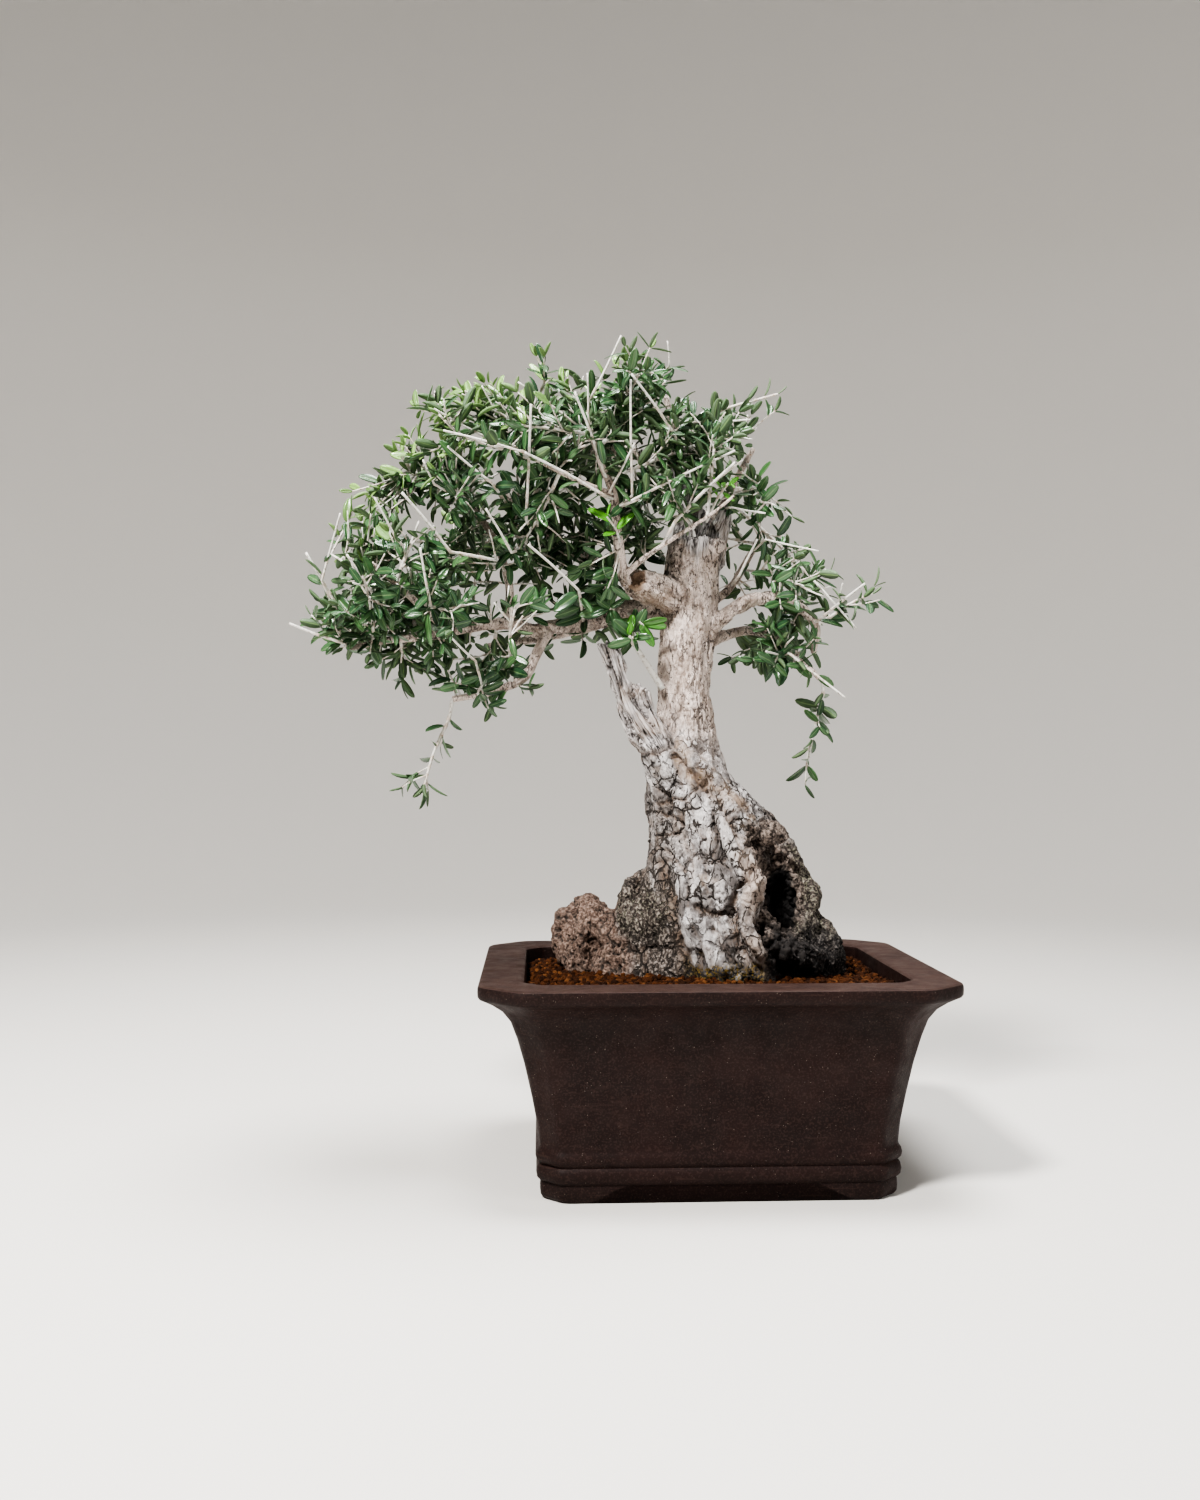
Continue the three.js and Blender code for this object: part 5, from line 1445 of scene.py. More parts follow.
soil = {
    "level": 148.2,
    "halfWidth": 145,
    "halfDepth": 105.2,
    "corner": 14,
    "bedDepth": 3.0,
    "bedGrid": (97, 71),
    "bedLumps": (-0.5, 0.3),
    "bedTone": (-0.5, -0.3),
    "pitch": 5.1,
    "jitter": 1.1,
    "lift": 1.2,
    "wallGap": 2.4,
    "treeGap": 0.8,
    "radius": (1.9, 2.8),
    "bigRadius": (2.6, 3.4),
    "smallShare": 0.9,
    "flatness": (0.72, 1.18),
    "dents": 0.34,
    "highest": 6,
    "seed": 41,
}


def soilHeight(x, y):
    return soil["level"] + 1.1 * np.sin(x / 31 + 0.8) * np.cos(y / 23)


# Distance inward from the pot's inner walls.
def inwardOf(x, y):
    fromSide, fromFront = soil["halfWidth"] - np.abs(x), soil["halfDepth"] - np.abs(y)
    toCorner = (soil["halfWidth"] + soil["halfDepth"] - soil["corner"] - np.abs(x) - np.abs(y)) / math.sqrt(2)
    return np.minimum.reduce([fromSide, fromFront, toCorner])


# A ball of 80 faces, each face of an icosahedron split in four.
def pebbleShape():
    phi = (1 + math.sqrt(5)) / 2
    corners = [(a, b * phi, 0) for a, b in product((-1, 1), repeat=2)]
    corners = toArray([point[turn:] + point[:turn] for turn in range(3) for point in corners])
    corners /= np.linalg.norm(corners[0])
    edge = min(np.linalg.norm(corners[0] - corner) for corner in corners[1:]) * 1.01
    faces = []
    for a, b, c in product(range(12), repeat=3):
        sides = [np.linalg.norm(corners[i] - corners[j]) for i, j in ((a, b), (b, c), (c, a))]
        if a < b and a < c and b != c and max(sides) < edge:
            if np.linalg.det(corners[[a, b, c]]) > 0:
                faces.append((a, b, c))
    middles = {}
    points = list(corners)
    fine = []

    def middle(a, b):
        key = (min(a, b), max(a, b))
        if key not in middles:
            middles[key] = len(points)
            point = points[a] + points[b]
            points.append(point / np.linalg.norm(point))
        return middles[key]

    for a, b, c in faces:
        ab, bc, ca = middle(a, b), middle(b, c), middle(c, a)
        fine.extend([(a, ab, ca), (b, bc, ab), (c, ca, bc), (ab, bc, ca)])
    return toArray(points), fine


def makeBed(random):
    width, depth = soil["halfWidth"] + 0.4, soil["halfDepth"] + 0.4
    across, deep = soil["bedGrid"]
    columns, rows = np.linspace(-width, width, across), np.linspace(-depth, depth, deep)
    gridX, gridY = (part.ravel() for part in np.meshgrid(columns, rows))
    height = soilHeight(gridX, gridY) - soil["bedDepth"] + random.uniform(*soil["bedLumps"], len(gridX))
    faces = []
    for row, column in product(range(deep - 1), range(across - 1)):
        if inwardOf(columns[column:column + 2].mean(), rows[row:row + 2].mean()) > -1:
            first = row * across + column
            faces.append((first, first + 1, first + across + 1, first + across))
    tone = random.uniform(*soil["bedTone"], len(height))
    bed = np.column_stack([gridX, gridY, height])
    base = addMesh("soilBed", bed, faces, [gritMaterial], values={"tone": tone}, smooth=False)
    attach(base, "root")
    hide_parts("soil")


# Places for the grains in offset rows, each moved a little.
def grainSpots(random):
    pitch = soil["pitch"]
    stepX, stepY = np.arange(-150, 150, pitch), np.arange(-110, 110, pitch * 0.866)
    spots = toArray([(x + (index % 2) * pitch / 2, y) for index, y in enumerate(stepY) for x in stepX])
    spots += random.uniform(-soil["jitter"], soil["jitter"], spots.shape)
    return spots[inwardOf(*spots.T) > soil["wallGap"]]


# A grain is left out where it would lie inside the wood, with wood above it and no skin of the wood near.
def makeGrains(random):
    spots = grainSpots(random)
    tree = BVHTree.FromObject(trunkPiece, bpy.context.evaluated_depsgraph_get())
    shape, shapeFaces = pebbleShape()
    skins, tones = [], []
    for x, y in spots:
        radius = random.uniform(*soil["radius" if random.random() < soil["smallShare"] else "bigRadius"])
        height = soilHeight(x, y) + random.uniform(-soil["lift"], soil["lift"])
        spot = Vector(inPlace(toArray((x, y, height))).tolist())
        above = tree.ray_cast(spot, Vector((0, 0, 1)))[1]
        if above is not None and above.z > 0 and tree.find_nearest(spot)[3] > soil["treeGap"] * mm:
            continue
        stretch = radius * random.uniform(*soil["flatness"], 3)
        turn = np.linalg.qr(random.normal(size=(3, 3)))[0]
        turn *= np.sign(np.linalg.det(turn))
        dents = 1 + soil["dents"] * (random.random(len(shape)) - 0.5)
        skins.append(((shape * dents[:, None] * stretch) @ turn + (x, y, height), shapeFaces))
        tones.append(np.full(len(shape), random.random()))
    points, faces = joined(skins)
    points[:, 2] = np.minimum(points[:, 2], soil["level"] + soil["highest"])
    values = {"tone": np.concatenate(tones)}
    grains = addMesh("soilGrains", points, faces, [gritMaterial], values=values, smooth=False)
    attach(grains, "root")
    print("grains", len(skins), "faces", len(faces))


soilRandom = np.random.default_rng(soil["seed"])
makeBed(soilRandom)
makeGrains(soilRandom)
for name in ("drain_screen_left", "drain_screen_right"):
    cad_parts[name].material_slots[0].material = screenMaterial

print("foliage")

# Rounded parts of the crown: middle, radii, and how many sprays reach for its surface.
crownLobes = [
    ((-232, 12, 464), (78, 96, 66), 15), ((-166, 16, 548), (76, 96, 62), 11),
    ((-62, 22, 590), (82, 92, 66), 12), ((22, 34, 562), (50, 70, 50), 7),
    ((72, 34, 438), (62, 70, 52), 10), ((-162, 8, 424), (80, 86, 46), 8),
]

# Single sprays that stand out of the crown, from their limb to the tip.
loneSprays = [
    [(-205, 0, 374), (-208, -2, 358), (-220, -4, 330), (-228, -4, 302)],
    [(-148, 28, 602), (-136, 14, 624), (-130, 6, 638), (-137, 2, 654)],
    [(-140, -56, 558), (-168, -58, 566), (-194, -60, 574), (-212, -60, 590)],
    [(95, 18, 436), (112, 15, 447), (126, 10, 456), (140, 6, 462)],
    [(103, 42, 394), (106, 40, 384), (98, 36, 354), (92, 34, 326)],
    [(-286, -10, 414), (-291, -12, 420), (-294, -15, 428), (-294, -16, 438)],
]

spray = {
    "seed": 7,
    "anchorSpacing": 11,
    "clearance": 1.2,
    "stemRadii": (1.7, 1.6, 1.4, 1.2),
    "bow": 0.07,
    "tries": 30,
    "rootFree": 4,  # length of a spray near its limb that isn't tested against the wood
    "anchorFree": 8,
    "lobeOverlap": 0.86,
}


def distanceBetween(first, second):
    (startA, endA), (startB, endB) = first, second
    u, v, w = endA - startA, endB - startB, startA - startB
    uu, uv, vv, uw, vw = u @ u, u @ v, v @ v, u @ w, v @ w
    spreadOf = uu * vv - uv * uv
    alongA = min(max((uv * vw - vv * uw) / spreadOf, 0), 1) if spreadOf > 1e-6 else 0.0
    alongB = min(max((uv * alongA + vw) / vv, 0), 1)
    alongA = min(max((uv * alongB - uw) / uu, 0), 1)
    alongB = min(max((uv * alongA + vw) / vv, 0), 1)
    return np.linalg.norm(w + u * alongA - v * alongB)


def rodsAlong(points, radii, owner):
    points = toArray(points)
    return [(points[step], points[step + 1], max(radii[step], radii[step + 1]), owner)
            for step in range(len(points) - 1)]


def woodRods():
    rods = rodsAlong([(x, y, height) for height, x, y, _, _ in trunkSections],
                     [max(row[3], row[4]) * 1.08 for row in trunkSections], "wood")
    for rows in [*masses.values(), *[rows for rows, _ in limbs.values()]]:
        rods += rodsAlong([row[:3] for row in rows], [row[3] * 1.15 for row in rows], "wood")
    return rods


def isClear(rod, placed):
    return all(rod[3] == other[3]
               or distanceBetween(rod[:2], other[:2]) > rod[2] + other[2] + spray["clearance"]
               for other in placed)


# Places along the limbs where a spray can start.
def sprayAnchors():
    anchors = []
    for rows, bare in limbs.values():
        for step in range(bare, len(rows) - 1):
            start, end = toArray(rows[step]), toArray(rows[step + 1])
            length = np.linalg.norm(end[:3] - start[:3])
            along = (end - start)[:3] / length
            count = max(1, math.floor(length / spray["anchorSpacing"] + 0.5))
            for part in range(1, count + 1):
                row = start + (end - start) * part / count
                anchors.append({"point": row[:3], "along": along, "radius": row[3], "used": False})
    return anchors


def lobeTips(lobe):
    centre, radii, count = lobe
    goldenAngle = math.pi * (3 - math.sqrt(5))
    tips = []
    for index in range(count):
        height = 1 - (2 * index + 1) / count
        reach = math.sqrt(1 - height * height)
        turn = index * goldenAngle
        onBall = toArray((reach * math.cos(turn), reach * math.sin(turn), height))
        tips.append(toArray(centre) + onBall * radii)
    others = [other for other in crownLobes if other is not lobe]
    return [tip for tip in tips if all(
        np.sum(((tip - middle) / size) ** 2) >= spray["lobeOverlap"] for middle, size, _ in others)]


def bowedRoute(start, end, random):
    reach = end - start
    side = np.cross(toArray((random() - 0.5, random() - 0.5, random() - 0.2)), reach)
    length = np.linalg.norm(reach)
    bow = spray["bow"] * length * (2 * random() - 1)
    middle = start + reach * 0.5 + unit(side) * bow
    shares = (0, 1 / 3, 2 / 3, 1)
    return toArray([(1 - t) ** 2 * start + 2 * t * (1 - t) * middle + t * t * end for t in shares])


def rootedRoute(tip, anchors, placed, random, owner):
    def cost(anchor):
        reach = tip - anchor["point"]
        length = np.linalg.norm(reach)
        return length * (1.3 - 0.3 * (reach / length) @ anchor["along"])

    for anchor in sorted((anchor for anchor in anchors if not anchor["used"]), key=cost)[:spray["tries"]]:
        route = bowedRoute(anchor["point"], tip, random)
        free = route.copy()
        free[0] += unit(route[1] - route[0]) * (anchor["radius"] + spray["rootFree"])
        if all(isClear(rod, placed) for rod in rodsAlong(free, spray["stemRadii"], owner)):
            anchor["used"] = True
            return route
    return None


def sprayRoutes():
    random = seededRandom(spray["seed"])
    placed = woodRods()
    anchors = sprayAnchors()
    routes = [toArray(points) for points in loneSprays]
    for index, route in enumerate(routes):
        placed += rodsAlong(route, [spray["stemRadii"][0]] * 4, index)
        for anchor in anchors:
            if np.linalg.norm(anchor["point"] - route[0]) < spray["anchorFree"]:
                anchor["used"] = True
    for lobe in crownLobes:
        for tip in lobeTips(lobe):
            route = rootedRoute(tip, anchors, placed, random, len(routes))
            if route is not None:
                placed += rodsAlong(route, spray["stemRadii"], len(routes))
                routes.append(route)
    return routes


leaf = {
    "length": (13, 21),
    "widthShare": (0.33, 0.43),
    "bigLength": (19, 26),
    "bigWidthShare": (0.36, 0.46),
    "bigShare": 0.05,
    "bigShareAdded": 0.35,  # near the place where the biggest leaves are
    "bigMiddle": (-84, -30, 448),
    "thickness": 0.36,
    "stations": (0.0, 0.08, 0.26, 0.50, 0.74, 0.93, 1.0),
    "petiole": 0.55,
    "fullness": 0.52,
    "bend": (-0.08, 0.26),
    "fold": (0.05, 0.55),
    "sway": 0.06,
    "lean": (0.75, 1.45),
    "tipLean": (0.2, 0.6),
    "scatter": 0.2,
    "roll": 0.35,
    "spacing": 4.0,
    "missing": 0.10,
    "woodGap": 0.8,
    "boxGap": 3,
    "crownMiddle": (-90, 30, 470),
}


# One leaf of unit length and width, which each leaf bends and scales: place across, place along, underside.
def leafShape():
    rows, faces, slots = [], [], []
    for t in leaf["stations"][1:-1]:
        rows.extend([(-1, t, 0), (-0.5, t, 0), (0, t, 0), (0.5, t, 0), (1, t, 0), (0, t, 1)])
    last = len(rows) - 6
    sides = [(side, (side + 1) % 6, 0 if side < 4 else 1) for side in range(6)]
    for low in range(0, last, 6):
        for side, nextSide, slot in sides:
            faces.append((low + side, low + nextSide, low + 6 + nextSide, low + 6 + side))
            slots.append(slot)
    root, tip = len(rows), len(rows) + 1
    rows.extend([(0, 0, 0.5), (0, 1, 0.5)])
    for side, nextSide, slot in sides:
        faces.extend([(root, nextSide, side), (tip, last + side, last + nextSide)])
        slots.extend([slot, slot])
    return toArray(rows), faces, slots


leafRows, leafFaces, leafSlots = leafShape()


def leafPoints(root, direction, above, length, width, bend, fold, sway):
    side, t, below = leafRows.T
    halfWidth = 0.5 * width * (4 * t * (1 - t)) ** leaf["fullness"]
    halfWidth = np.where((t == 0) | (t == 1), 0.0, np.maximum(halfWidth, leaf["petiole"] / 2))
    x = side * halfWidth
    z = fold * np.abs(x) - bend * length * t * t - below * leaf["thickness"] * (1 - 0.4 * t)
    across = np.cross(direction, above)
    x = x + sway * length * t * t
    return root + np.outer(x, across) + np.outer(t * length, direction) + np.outer(z, above)


rodStarts, rodEnds, rodRadii = (toArray([rod[part] for rod in woodRods()]) for part in range(3))


def isInWood(points, clearance):
    for point in points:
        away, reach = point - rodStarts, rodEnds - rodStarts
        share = np.clip(np.sum(away * reach, axis=1) / np.sum(reach * reach, axis=1), 0, 1)
        gaps = np.linalg.norm(away - reach * share[:, None], axis=1) - rodRadii / 1.1
        if gaps.min() < clearance:
            return True
    return False


twig = {
    "sides": 5,
    "step": 4.0,
    "radius": 0.72,
    "stem": (1.65, 0.85),
    "bareStemShare": 0.12,
    "bareWidth": 1.3,
    "fillWidth": 1.25,
    "nodeGap": (6.5, 10.0),
    "nodeSwell": 0.2,
    "length": (22, 44),
    "lean": (0.6, 1.05),
    "lift": 0.1,
    "bow": 0.06,
    "bareShare": 0.2,
    "sideShare": 0.72,
    "loneSideShare": 0.3,
    "woodGap": 1.5,
    "boxGap": 6,
    "firstSeed": 1000,
    "fillSeed": 77,
    "bareSeed": 91,
}
leafSpots = {}


def hasLeafRoom(point):
    cell = tuple(int(math.floor(value / leaf["spacing"])) for value in point)
    for offset in product((-1, 0, 1), repeat=3):
        for other in leafSpots.get(tuple(a + b for a, b in zip(cell, offset)), ()):
            if np.linalg.norm(point - other) < leaf["spacing"]:
                return False
    leafSpots.setdefault(cell, []).append(point)
    return True


# Where the crown thins out, from the place where that starts to where it is full: on the right, before the
# left limb and the knob, high up and in the sprays that hang.
thinZones = {
    "right": (-6, 14), "rightFoot": (470, 490), "rightTop": (617, 607),
    "limbLeft": (-200, -185), "limbRight": (-66, -80), "limbFoot": (402, 410), "limbTop": (447, 439),
    "knobLeft": (-76, -68), "knobRight": (8, -2), "knobFoot": (436, 444), "knobTop": (496, 486),
    "airySide": (-4, 26), "airyFoot": (440, 462), "upperSide": (-40, -80), "upperFoot": (450, 500),
    "hanging": (366, 356), "front": (34, 26),
}


# Share of the leaves that are missing at a point.
def thinning(point):
    x, y, z = point

    def zone(key, value):
        return smoothStep(*thinZones[key], value)

    right = 0.8 * zone("right", x - 24 - 0.57 * (601 - z)) * zone("rightFoot", z) * zone("rightTop", z)
    limb = 0.9 * zone("limbLeft", x) * zone("limbRight", x) * zone("limbFoot", z) * zone("limbTop", z)
    knob = zone("knobLeft", x) * zone("knobRight", x) * zone("knobFoot", z) * zone("knobTop", z)
    airy = 0.42 * zone("airySide", x) * zone("airyFoot", z)
    upper = 0.2 * zone("upperSide", x) * zone("upperFoot", z)
    return max(right, airy, upper, 0.45 * zone("hanging", z), max(limb, knob) * zone("front", y))


# Leaves at the tips high on the left are the palest: young leaves, with painted backlight.
def paleness(point, share, random):
    height = 0.83 * point[2] - 0.55 * point[0]
    chance = smoothStep(545, 612, height) * smoothStep(0.35, 0.95, share)
    return random.uniform(0.5, 1.0) if random.random() < chance else random.uniform(0, 0.08)


def isBroad(point, random):
    nearMiddle = smoothStep(70, 30, np.linalg.norm((point - leaf["bigMiddle"]) * (1, 0.5, 1)))
    return random.random() < leaf["bigShare"] + leaf["bigShareAdded"] * nearMiddle


# A leaf is left out where the crown is thin, past the frame's box, in the wood or too near another leaf.
def hasPlace(root, direction, length, random):
    reach, gap = root + direction * length, leaf["boxGap"]
    if random.random() < thinning((root + reach) / 2):
        return False
    if np.any(np.minimum(root, reach) < cadLow + gap) or np.any(np.maximum(root, reach) > cadHigh - gap):
        return False
    if isInWood([root + direction * length * part for part in (0.35, 0.7, 1.0)], leaf["woodGap"]):
        return False
    return hasLeafRoom(root + direction * length * 0.55)


def addLeaf(parts, root, tangent, outward, lean, random, share, fresh=0.0):
    direction = unit(tangent * math.cos(lean) + outward * math.sin(lean))
    direction = unit(direction + leaf["scatter"] * random.normal(size=3))
    fromMiddle = unit(root - leaf["crownMiddle"])
    above = 0.6 * tangent + 0.55 * fromMiddle + toArray((0, 0, 0.3)) + leaf["roll"] * random.normal(size=3)
    above = unit(above - direction * above.dot(direction))
    isBig = isBroad(root, random)
    shorter = 1 - 0.3 * max(share - 0.75, 0) / 0.25
    length = random.uniform(*leaf["bigLength" if isBig else "length"]) * shorter
    width = length * random.uniform(*leaf["bigWidthShare" if isBig else "widthShare"])
    bend, fold = random.uniform(*leaf["bend"]), random.uniform(*leaf["fold"])
    sway = random.normal() * leaf["sway"]
    if hasPlace(root, direction, length, random):
        parts["leaves"].append(leafPoints(root, direction, above, length, width, bend, fold, sway))
        parts["tones"].append(random.random())
        parts["youthAndBacklight"].append(paleness(root + direction * length, share, random))
        parts["fresh"].append(fresh)


def taper(line, start, end):
    return np.interp(np.linspace(0, 1, len(line)), [0, 1], [start, end])


def outwardAt(normal, side, angle):
    return normal * math.cos(angle) + side * math.sin(angle)


# A twig with pairs of leaves that turn from node to node; it returns the places of the nodes.
def addTwig(parts, line, radii, random, fromShare, bareTip, fresh=0.0, leafShare=1.0):
    tangents, normals, across = framesAlong(line)
    lengths = lengthsAlong(line)
    node = np.zeros(len(line))
    places, turn = [], random.uniform(0, math.pi)
    at = lengths[-1] * fromShare + random.uniform(1, 4)
    stop = lengths[-1] * (0.62 if bareTip else 1.0) - 1.0
    while at < stop:
        index = min(int(np.searchsorted(lengths, at)), len(line) - 1)
        node[index] = 1
        places.append((line[index], tangents[index], normals[index], across[index], turn, at / lengths[-1]))
        turn += math.pi / 2 + random.normal() * 0.25
        at += random.uniform(*twig["nodeGap"])
    radii = radii * (1 + twig["nodeSwell"] * node)
    parts["twigs"].append(tubeRings(line, radii, twig["sides"]))
    parts["nodes"].append(node)
    for point, tangent, normal, side, angle, share in places:
        for half in (0, math.pi):
            if random.random() < leafShare * (1 - leaf["missing"]):
                outward = outwardAt(normal, side, angle + half)
                lean = random.uniform(*leaf["lean"])
                addLeaf(parts, point + outward * radii.mean(), tangent, outward, lean, random, share, fresh)
    if not bareTip:
        for half in (0, math.pi):
            outward = outwardAt(normals[-1], across[-1], turn + half)
            lean = random.uniform(*leaf["tipLean"])
            addLeaf(parts, line[-1], tangents[-1], outward, lean, random, 1.0, fresh)
    return places


def emptyParts():
    return {key: [] for key in ("twigs", "nodes", "leaves", "tones", "youthAndBacklight", "fresh")}


# A side twig with a slight bow, from its root to its end.
def bowedTwig(root, end, random, share=twig["bow"]):
    bow = unit(random.normal(size=3)) * np.linalg.norm(end - root) * share
    return splineThrough([root, (root + end) / 2 + bow, end], twig["step"])


# No twig ends in a thinned part of the crown, or crosses a part that is clear of leaves.
def isThinned(root, end):
    return thinning(end) > 0.6 or thinning((root + end) / 2) > 0.93


def isOutside(point):
    return np.any(point < cadLow + twig["boxGap"]) or np.any(point > cadHigh - twig["boxGap"])


def growSpray(route, seed):
    sideShare = twig["loneSideShare"] if seed < len(loneSprays) else twig["sideShare"]
    random = np.random.default_rng(twig["firstSeed"] + seed)
    parts = emptyParts()
    line = splineThrough(route, twig["step"])
    stem = taper(line, *twig["stem"])
    places = addTwig(parts, line, stem, random, 0.16, random.random() < twig["bareStemShare"])
    for point, tangent, normal, side, angle, share in places:
        for half in (math.pi / 2, -math.pi / 2):
            if random.random() > sideShare:
                continue
            turn, lean = angle + half + random.normal() * 0.3, random.uniform(*twig["lean"])
            direction = tangent * math.cos(lean) + outwardAt(normal, side, turn) * math.sin(lean)
            direction = direction + toArray((0, 0, twig["lift"]))
            end = point + direction * random.uniform(*twig["length"]) * (1.05 - 0.45 * share)
            if isOutside(end) or isThinned(point, end) or isInWood([end, (point + end) / 2], twig["woodGap"]):
                continue
            isBare = random.random() < twig["bareShare"]
            sideLine = bowedTwig(point, end, random)
            width = twig["radius"] * (twig["bareWidth"] if isBare else 1.0)
            addTwig(parts, sideLine, taper(sideLine, width, width * 0.7), random, 0.12, isBare)
    return parts


# Lines that further twigs can start from: place, direction, and the spray whose stem it is or -1 for a limb.
def makeNetwork(routes):
    lines = [(splineThrough([row[:3] for row in rows[min(bare, len(rows) - 2):]], 4), -1)
             for (_, bare), rows in zip(limbs.values(), limbShapes())]
    lines += [(splineThrough(route, 4)[2:], index) for index, route in enumerate(routes)]
    points, tangents = [line for line, _ in lines], [framesAlong(line)[0] for line, _ in lines]
    owners = [np.full(len(line), owner) for line, owner in lines]
    return np.concatenate(points), np.concatenate(tangents), np.concatenate(owners)


# Middle, radii and number of the further twigs that fill each part of the crown.
fillings = [
    ((-62, 2, 505), (62, 60, 66), 60), ((-140, 8, 506), (62, 76, 52), 28),
    ((-232, 12, 464), (72, 92, 60), 54), ((-272, 0, 492), (32, 46, 28), 16),
    ((-268, -4, 528), (28, 36, 18), 18), ((-222, 0, 556), (40, 50, 30), 18),
    ((-190, 4, 612), (46, 44, 22), 24), ((-166, 16, 548), (72, 92, 58), 36),
    ((-62, 22, 590), (78, 86, 60), 50), ((8, 26, 566), (44, 62, 44), 18),
    ((66, 34, 440), (58, 66, 46), 12), ((-166, 6, 424), (84, 84, 42), 44),
    ((-50, -6, 428), (24, 26, 14), 4), ((-92, 44, 458), (60, 56, 34), 24),
]

filling = {"nearest": 14, "farthest": 80, "spread": 0.4}


def fillCrown(routes, grown):
    random = np.random.default_rng(twig["fillSeed"])
    points, tangents, owners = makeNetwork(routes)
    middles = toArray([route[2] for route in routes])
    for middle, radii, count in fillings:
        for _ in range(count):
            spot = unit(random.normal(size=3))
            end = toArray(middle) + spot * radii * random.random() ** filling["spread"]
            away = end - points
            gaps = np.linalg.norm(away, axis=1)
            cost = gaps * (1.3 - 0.3 * np.sum(away * tangents, axis=1) / gaps)
            cost[(gaps < filling["nearest"]) | (gaps > filling["farthest"])] = np.inf
            nearest = int(np.argmin(cost))
            root = points[nearest]
            if np.isinf(cost[nearest]) or isOutside(end) or isThinned(root, end):
                continue
            if isInWood([end, (root + 2 * end) / 3], twig["woodGap"]):
                continue
            owner = owners[nearest]
            if owner < 0:
                owner = int(np.argmin(np.linalg.norm(middles - end, axis=1)))
            isBare = random.random() < twig["bareShare"]
            line = bowedTwig(root, end, random)
            width = twig["radius"] * twig["fillWidth"]
            addTwig(grown[owner], line, taper(line, width, width * 0.6), random, 0.15, isBare)


# Pruned twigs that stand bare and pale in front of the leaves: lower end, upper end, radius.
prunedTwigs = [
    ((-145, -46, 512), (-141, -78, 594), 1.6), ((-84, -50, 547), (-108, -74, 605), 1.5),
    ((-97, -58, 591), (-98, -68, 621), 1.0), ((-93, -40, 612), (-71, -52, 655), 1.4),
    ((-170, -50, 598), (-179, -58, 613), 1.0), ((-104, -44, 586), (-151, -66, 614), 1.3),
    ((-176, -46, 576), (-215, -66, 593), 1.1), ((-84, -48, 531), (-146, -72, 559), 1.7),
    ((-146, -72, 559), (-207, -80, 573), 1.3), ((-171, -58, 538), (-204, -76, 562), 1.5),
    ((-215, -60, 536), (-223, -70, 553), 1.2), ((-244, -62, 494), (-259, -76, 523), 1.2),
    ((-203, -56, 485), (-238, -80, 526), 1.7), ((-156, -62, 484), (-175, -82, 514), 1.4),
    ((-304, -40, 465), (-288, -52, 515), 1.3), ((-296, -30, 450), (-316, -42, 486), 1.6),
    ((-258, -56, 445), (-280, -74, 480), 1.4), ((-217, -66, 441), (-224, -84, 484), 1.4),
    ((-104, -48, 457), (-143, -76, 488), 1.6), ((-293, -30, 418), (-329, -40, 431), 1.5),
    ((-184, -52, 401), (-209, -70, 426), 1.3), ((-62, -44, 532), (-65, -70, 616), 1.3),
    ((-28, -36, 582), (-64, -64, 622), 1.5), ((-31, -24, 640), (-33, -30, 658), 1.0),
    ((-66, -52, 525), (19, -44, 568), 1.4), ((-27, -36, 514), (18, -52, 557), 1.7),
    ((-10, -20, 596), (34, -26, 597), 1.2), ((-80, -46, 534), (-61, -58, 570), 1.3),
    ((28, -4, 475), (42, -10, 504), 1.5), ((20, -18, 528), (46, -26, 522), 1.2),
    ((48, -14, 503), (90, -20, 493), 1.1), ((95, 6, 440), (131, -6, 469), 1.5),
    ((69, -4, 456), (75, -12, 480), 1.1), ((69, 2, 413), (113, -14, 375), 1.4),
]

# Single shoots: root, end, radius, how fresh their leaves are, and the share of the stem below the leaves.
shoots = [
    ((-34, 6, 383), (-63, -13, 425), 3.0, 1, 0.75),
    ((2, 2, 520), (14, -42, 543), 1.4, 1, 0.5),
    ((-70, -22, 496), (-82, -50, 514), 1.3, 1, 0.4),
    ((96, 36, 346), (89, 33, 304), 1.0, 0, 0.0),
    ((-22, 46, 604), (62, 8, 627), 1.5, 0, 0.35),
    ((-56, 40, 451), (-60, -18, 422), 1.4, 0, 0.35),
    ((-70, 42, 449), (-78, -16, 446), 1.4, 0, 0.35),
    ((-62, 41, 450), (-52, -26, 432), 1.3, 0.4, 0.45),
]


# A bare twig starts from the wood or the stem behind it that it can reach with the least of a turn.
def twigRoot(low, high, points):
    back = low - points
    aside, behind = np.hypot(back[:, 0], back[:, 2]), points[:, 1] - low[1]
    turnedAway = aside - back @ unit((high - low) * (1, 0, 1))
    return points[np.argmin(1.2 * aside + 1.5 * turnedAway + 0.35 * np.abs(behind) + 60 * (behind < 6))]


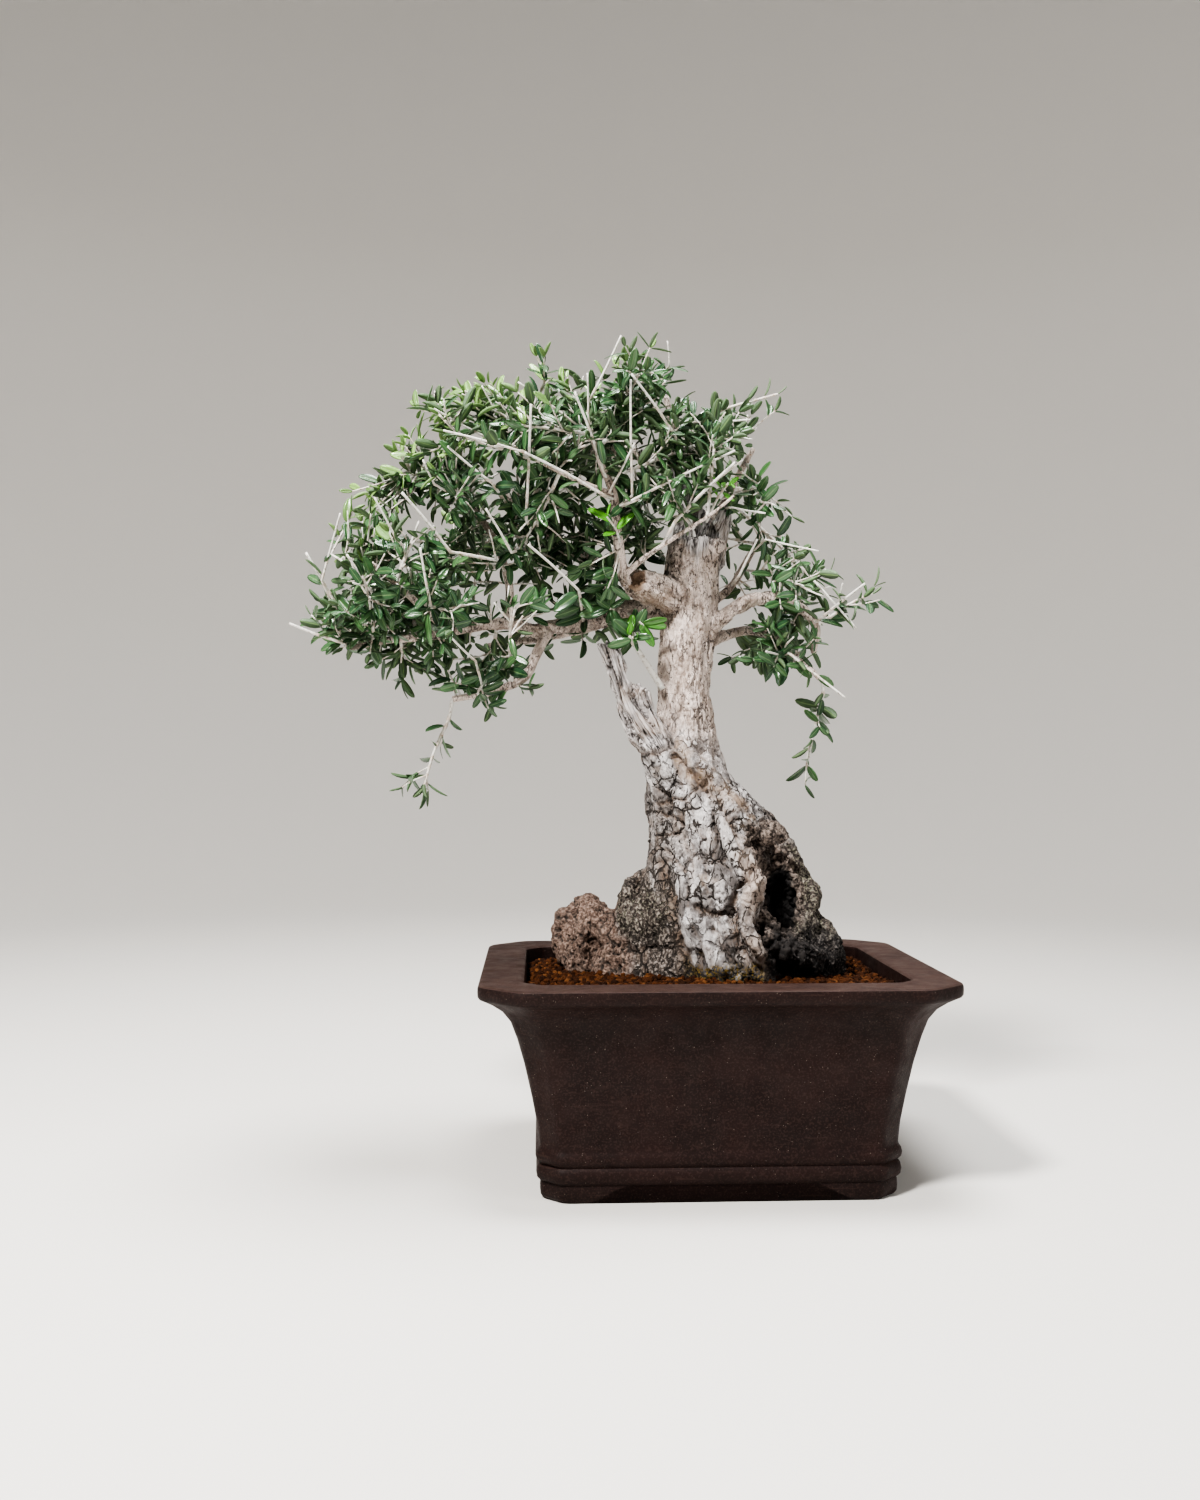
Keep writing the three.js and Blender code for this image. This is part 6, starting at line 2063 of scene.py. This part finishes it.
def growBareTwigs(routes):
    random = np.random.default_rng(twig["bareSeed"])
    points = makeNetwork(routes)[0]
    parts = emptyParts()
    for low, high, radius in prunedTwigs:
        low, high = toArray(low), toArray(high)
        if isOutside(high):
            high = np.clip(high, cadLow + twig["boxGap"], cadHigh - twig["boxGap"])
        root = twigRoot(low, high, points)
        steps = max(3, round(np.linalg.norm(low - root) / twig["step"]))
        lead = root + (low - root) * np.linspace(0, 1, steps)[:, None]
        line = np.vstack([lead[:-1], bowedTwig(low, high, random, 0.015)])
        addTwig(parts, line, taper(line, radius * 0.8, radius * 0.66), random, 0.1, True, leafShare=0.5)
    for root, end, radius, fresh, below in shoots:
        line = bowedTwig(toArray(root), toArray(end), random)
        addTwig(parts, line, taper(line, radius, 0.55 * radius), random, below, False, fresh=fresh)
    return parts


def makeSpray(name, parts):
    twigPoints, twigFaces = joined([loft(rings) for rings in parts["twigs"]])
    leafPointSets = [(points, leafFaces) for points in parts["leaves"]]
    points, faces = joined([(twigPoints, twigFaces), *leafPointSets])
    count, leaves = len(leafRows), len(leafPointSets)
    slots = [2] * len(twigFaces) + leafSlots * leaves
    none = np.zeros(len(twigPoints))
    values = {key: np.concatenate([none, np.repeat(toArray(parts[source]), count)])
              for key, source in (("tone", "tones"), ("youthAndBacklight", "youthAndBacklight"), ("fresh", "fresh"))}
    values["across"] = np.concatenate([none, np.tile(leafRows[:, 0], leaves)])
    values["along"] = np.concatenate([none, np.tile(leafRows[:, 1], leaves)])
    nodes = [np.append(np.repeat(node, twig["sides"]), (0, 0)) for node in parts["nodes"]]
    values["node"] = np.concatenate([*nodes, np.zeros(leaves * count)])
    piece = addMesh(name, points, faces, [upperMaterial, underMaterial, twigMaterial], slots, values)
    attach(piece, "root")
    return piece


def makeFoliage():
    routes = sprayRoutes()
    grown = [growSpray(route, index) for index, route in enumerate(routes)]
    fillCrown(routes, grown)
    for index, parts in enumerate(grown):
        piece = makeSpray(f"leafySpray_{index + 1:02d}", parts)
        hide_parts(f"spray_{index + 1:02d}")
    bare = growBareTwigs(routes)
    makeSpray("prunedTwigs", bare)
    print("sprays", len(routes), "leaves", sum(len(parts["leaves"]) for parts in [*grown, bare]))


makeFoliage()

view = bpy.context.scene.view_settings
view.look = "AgX - High Contrast"
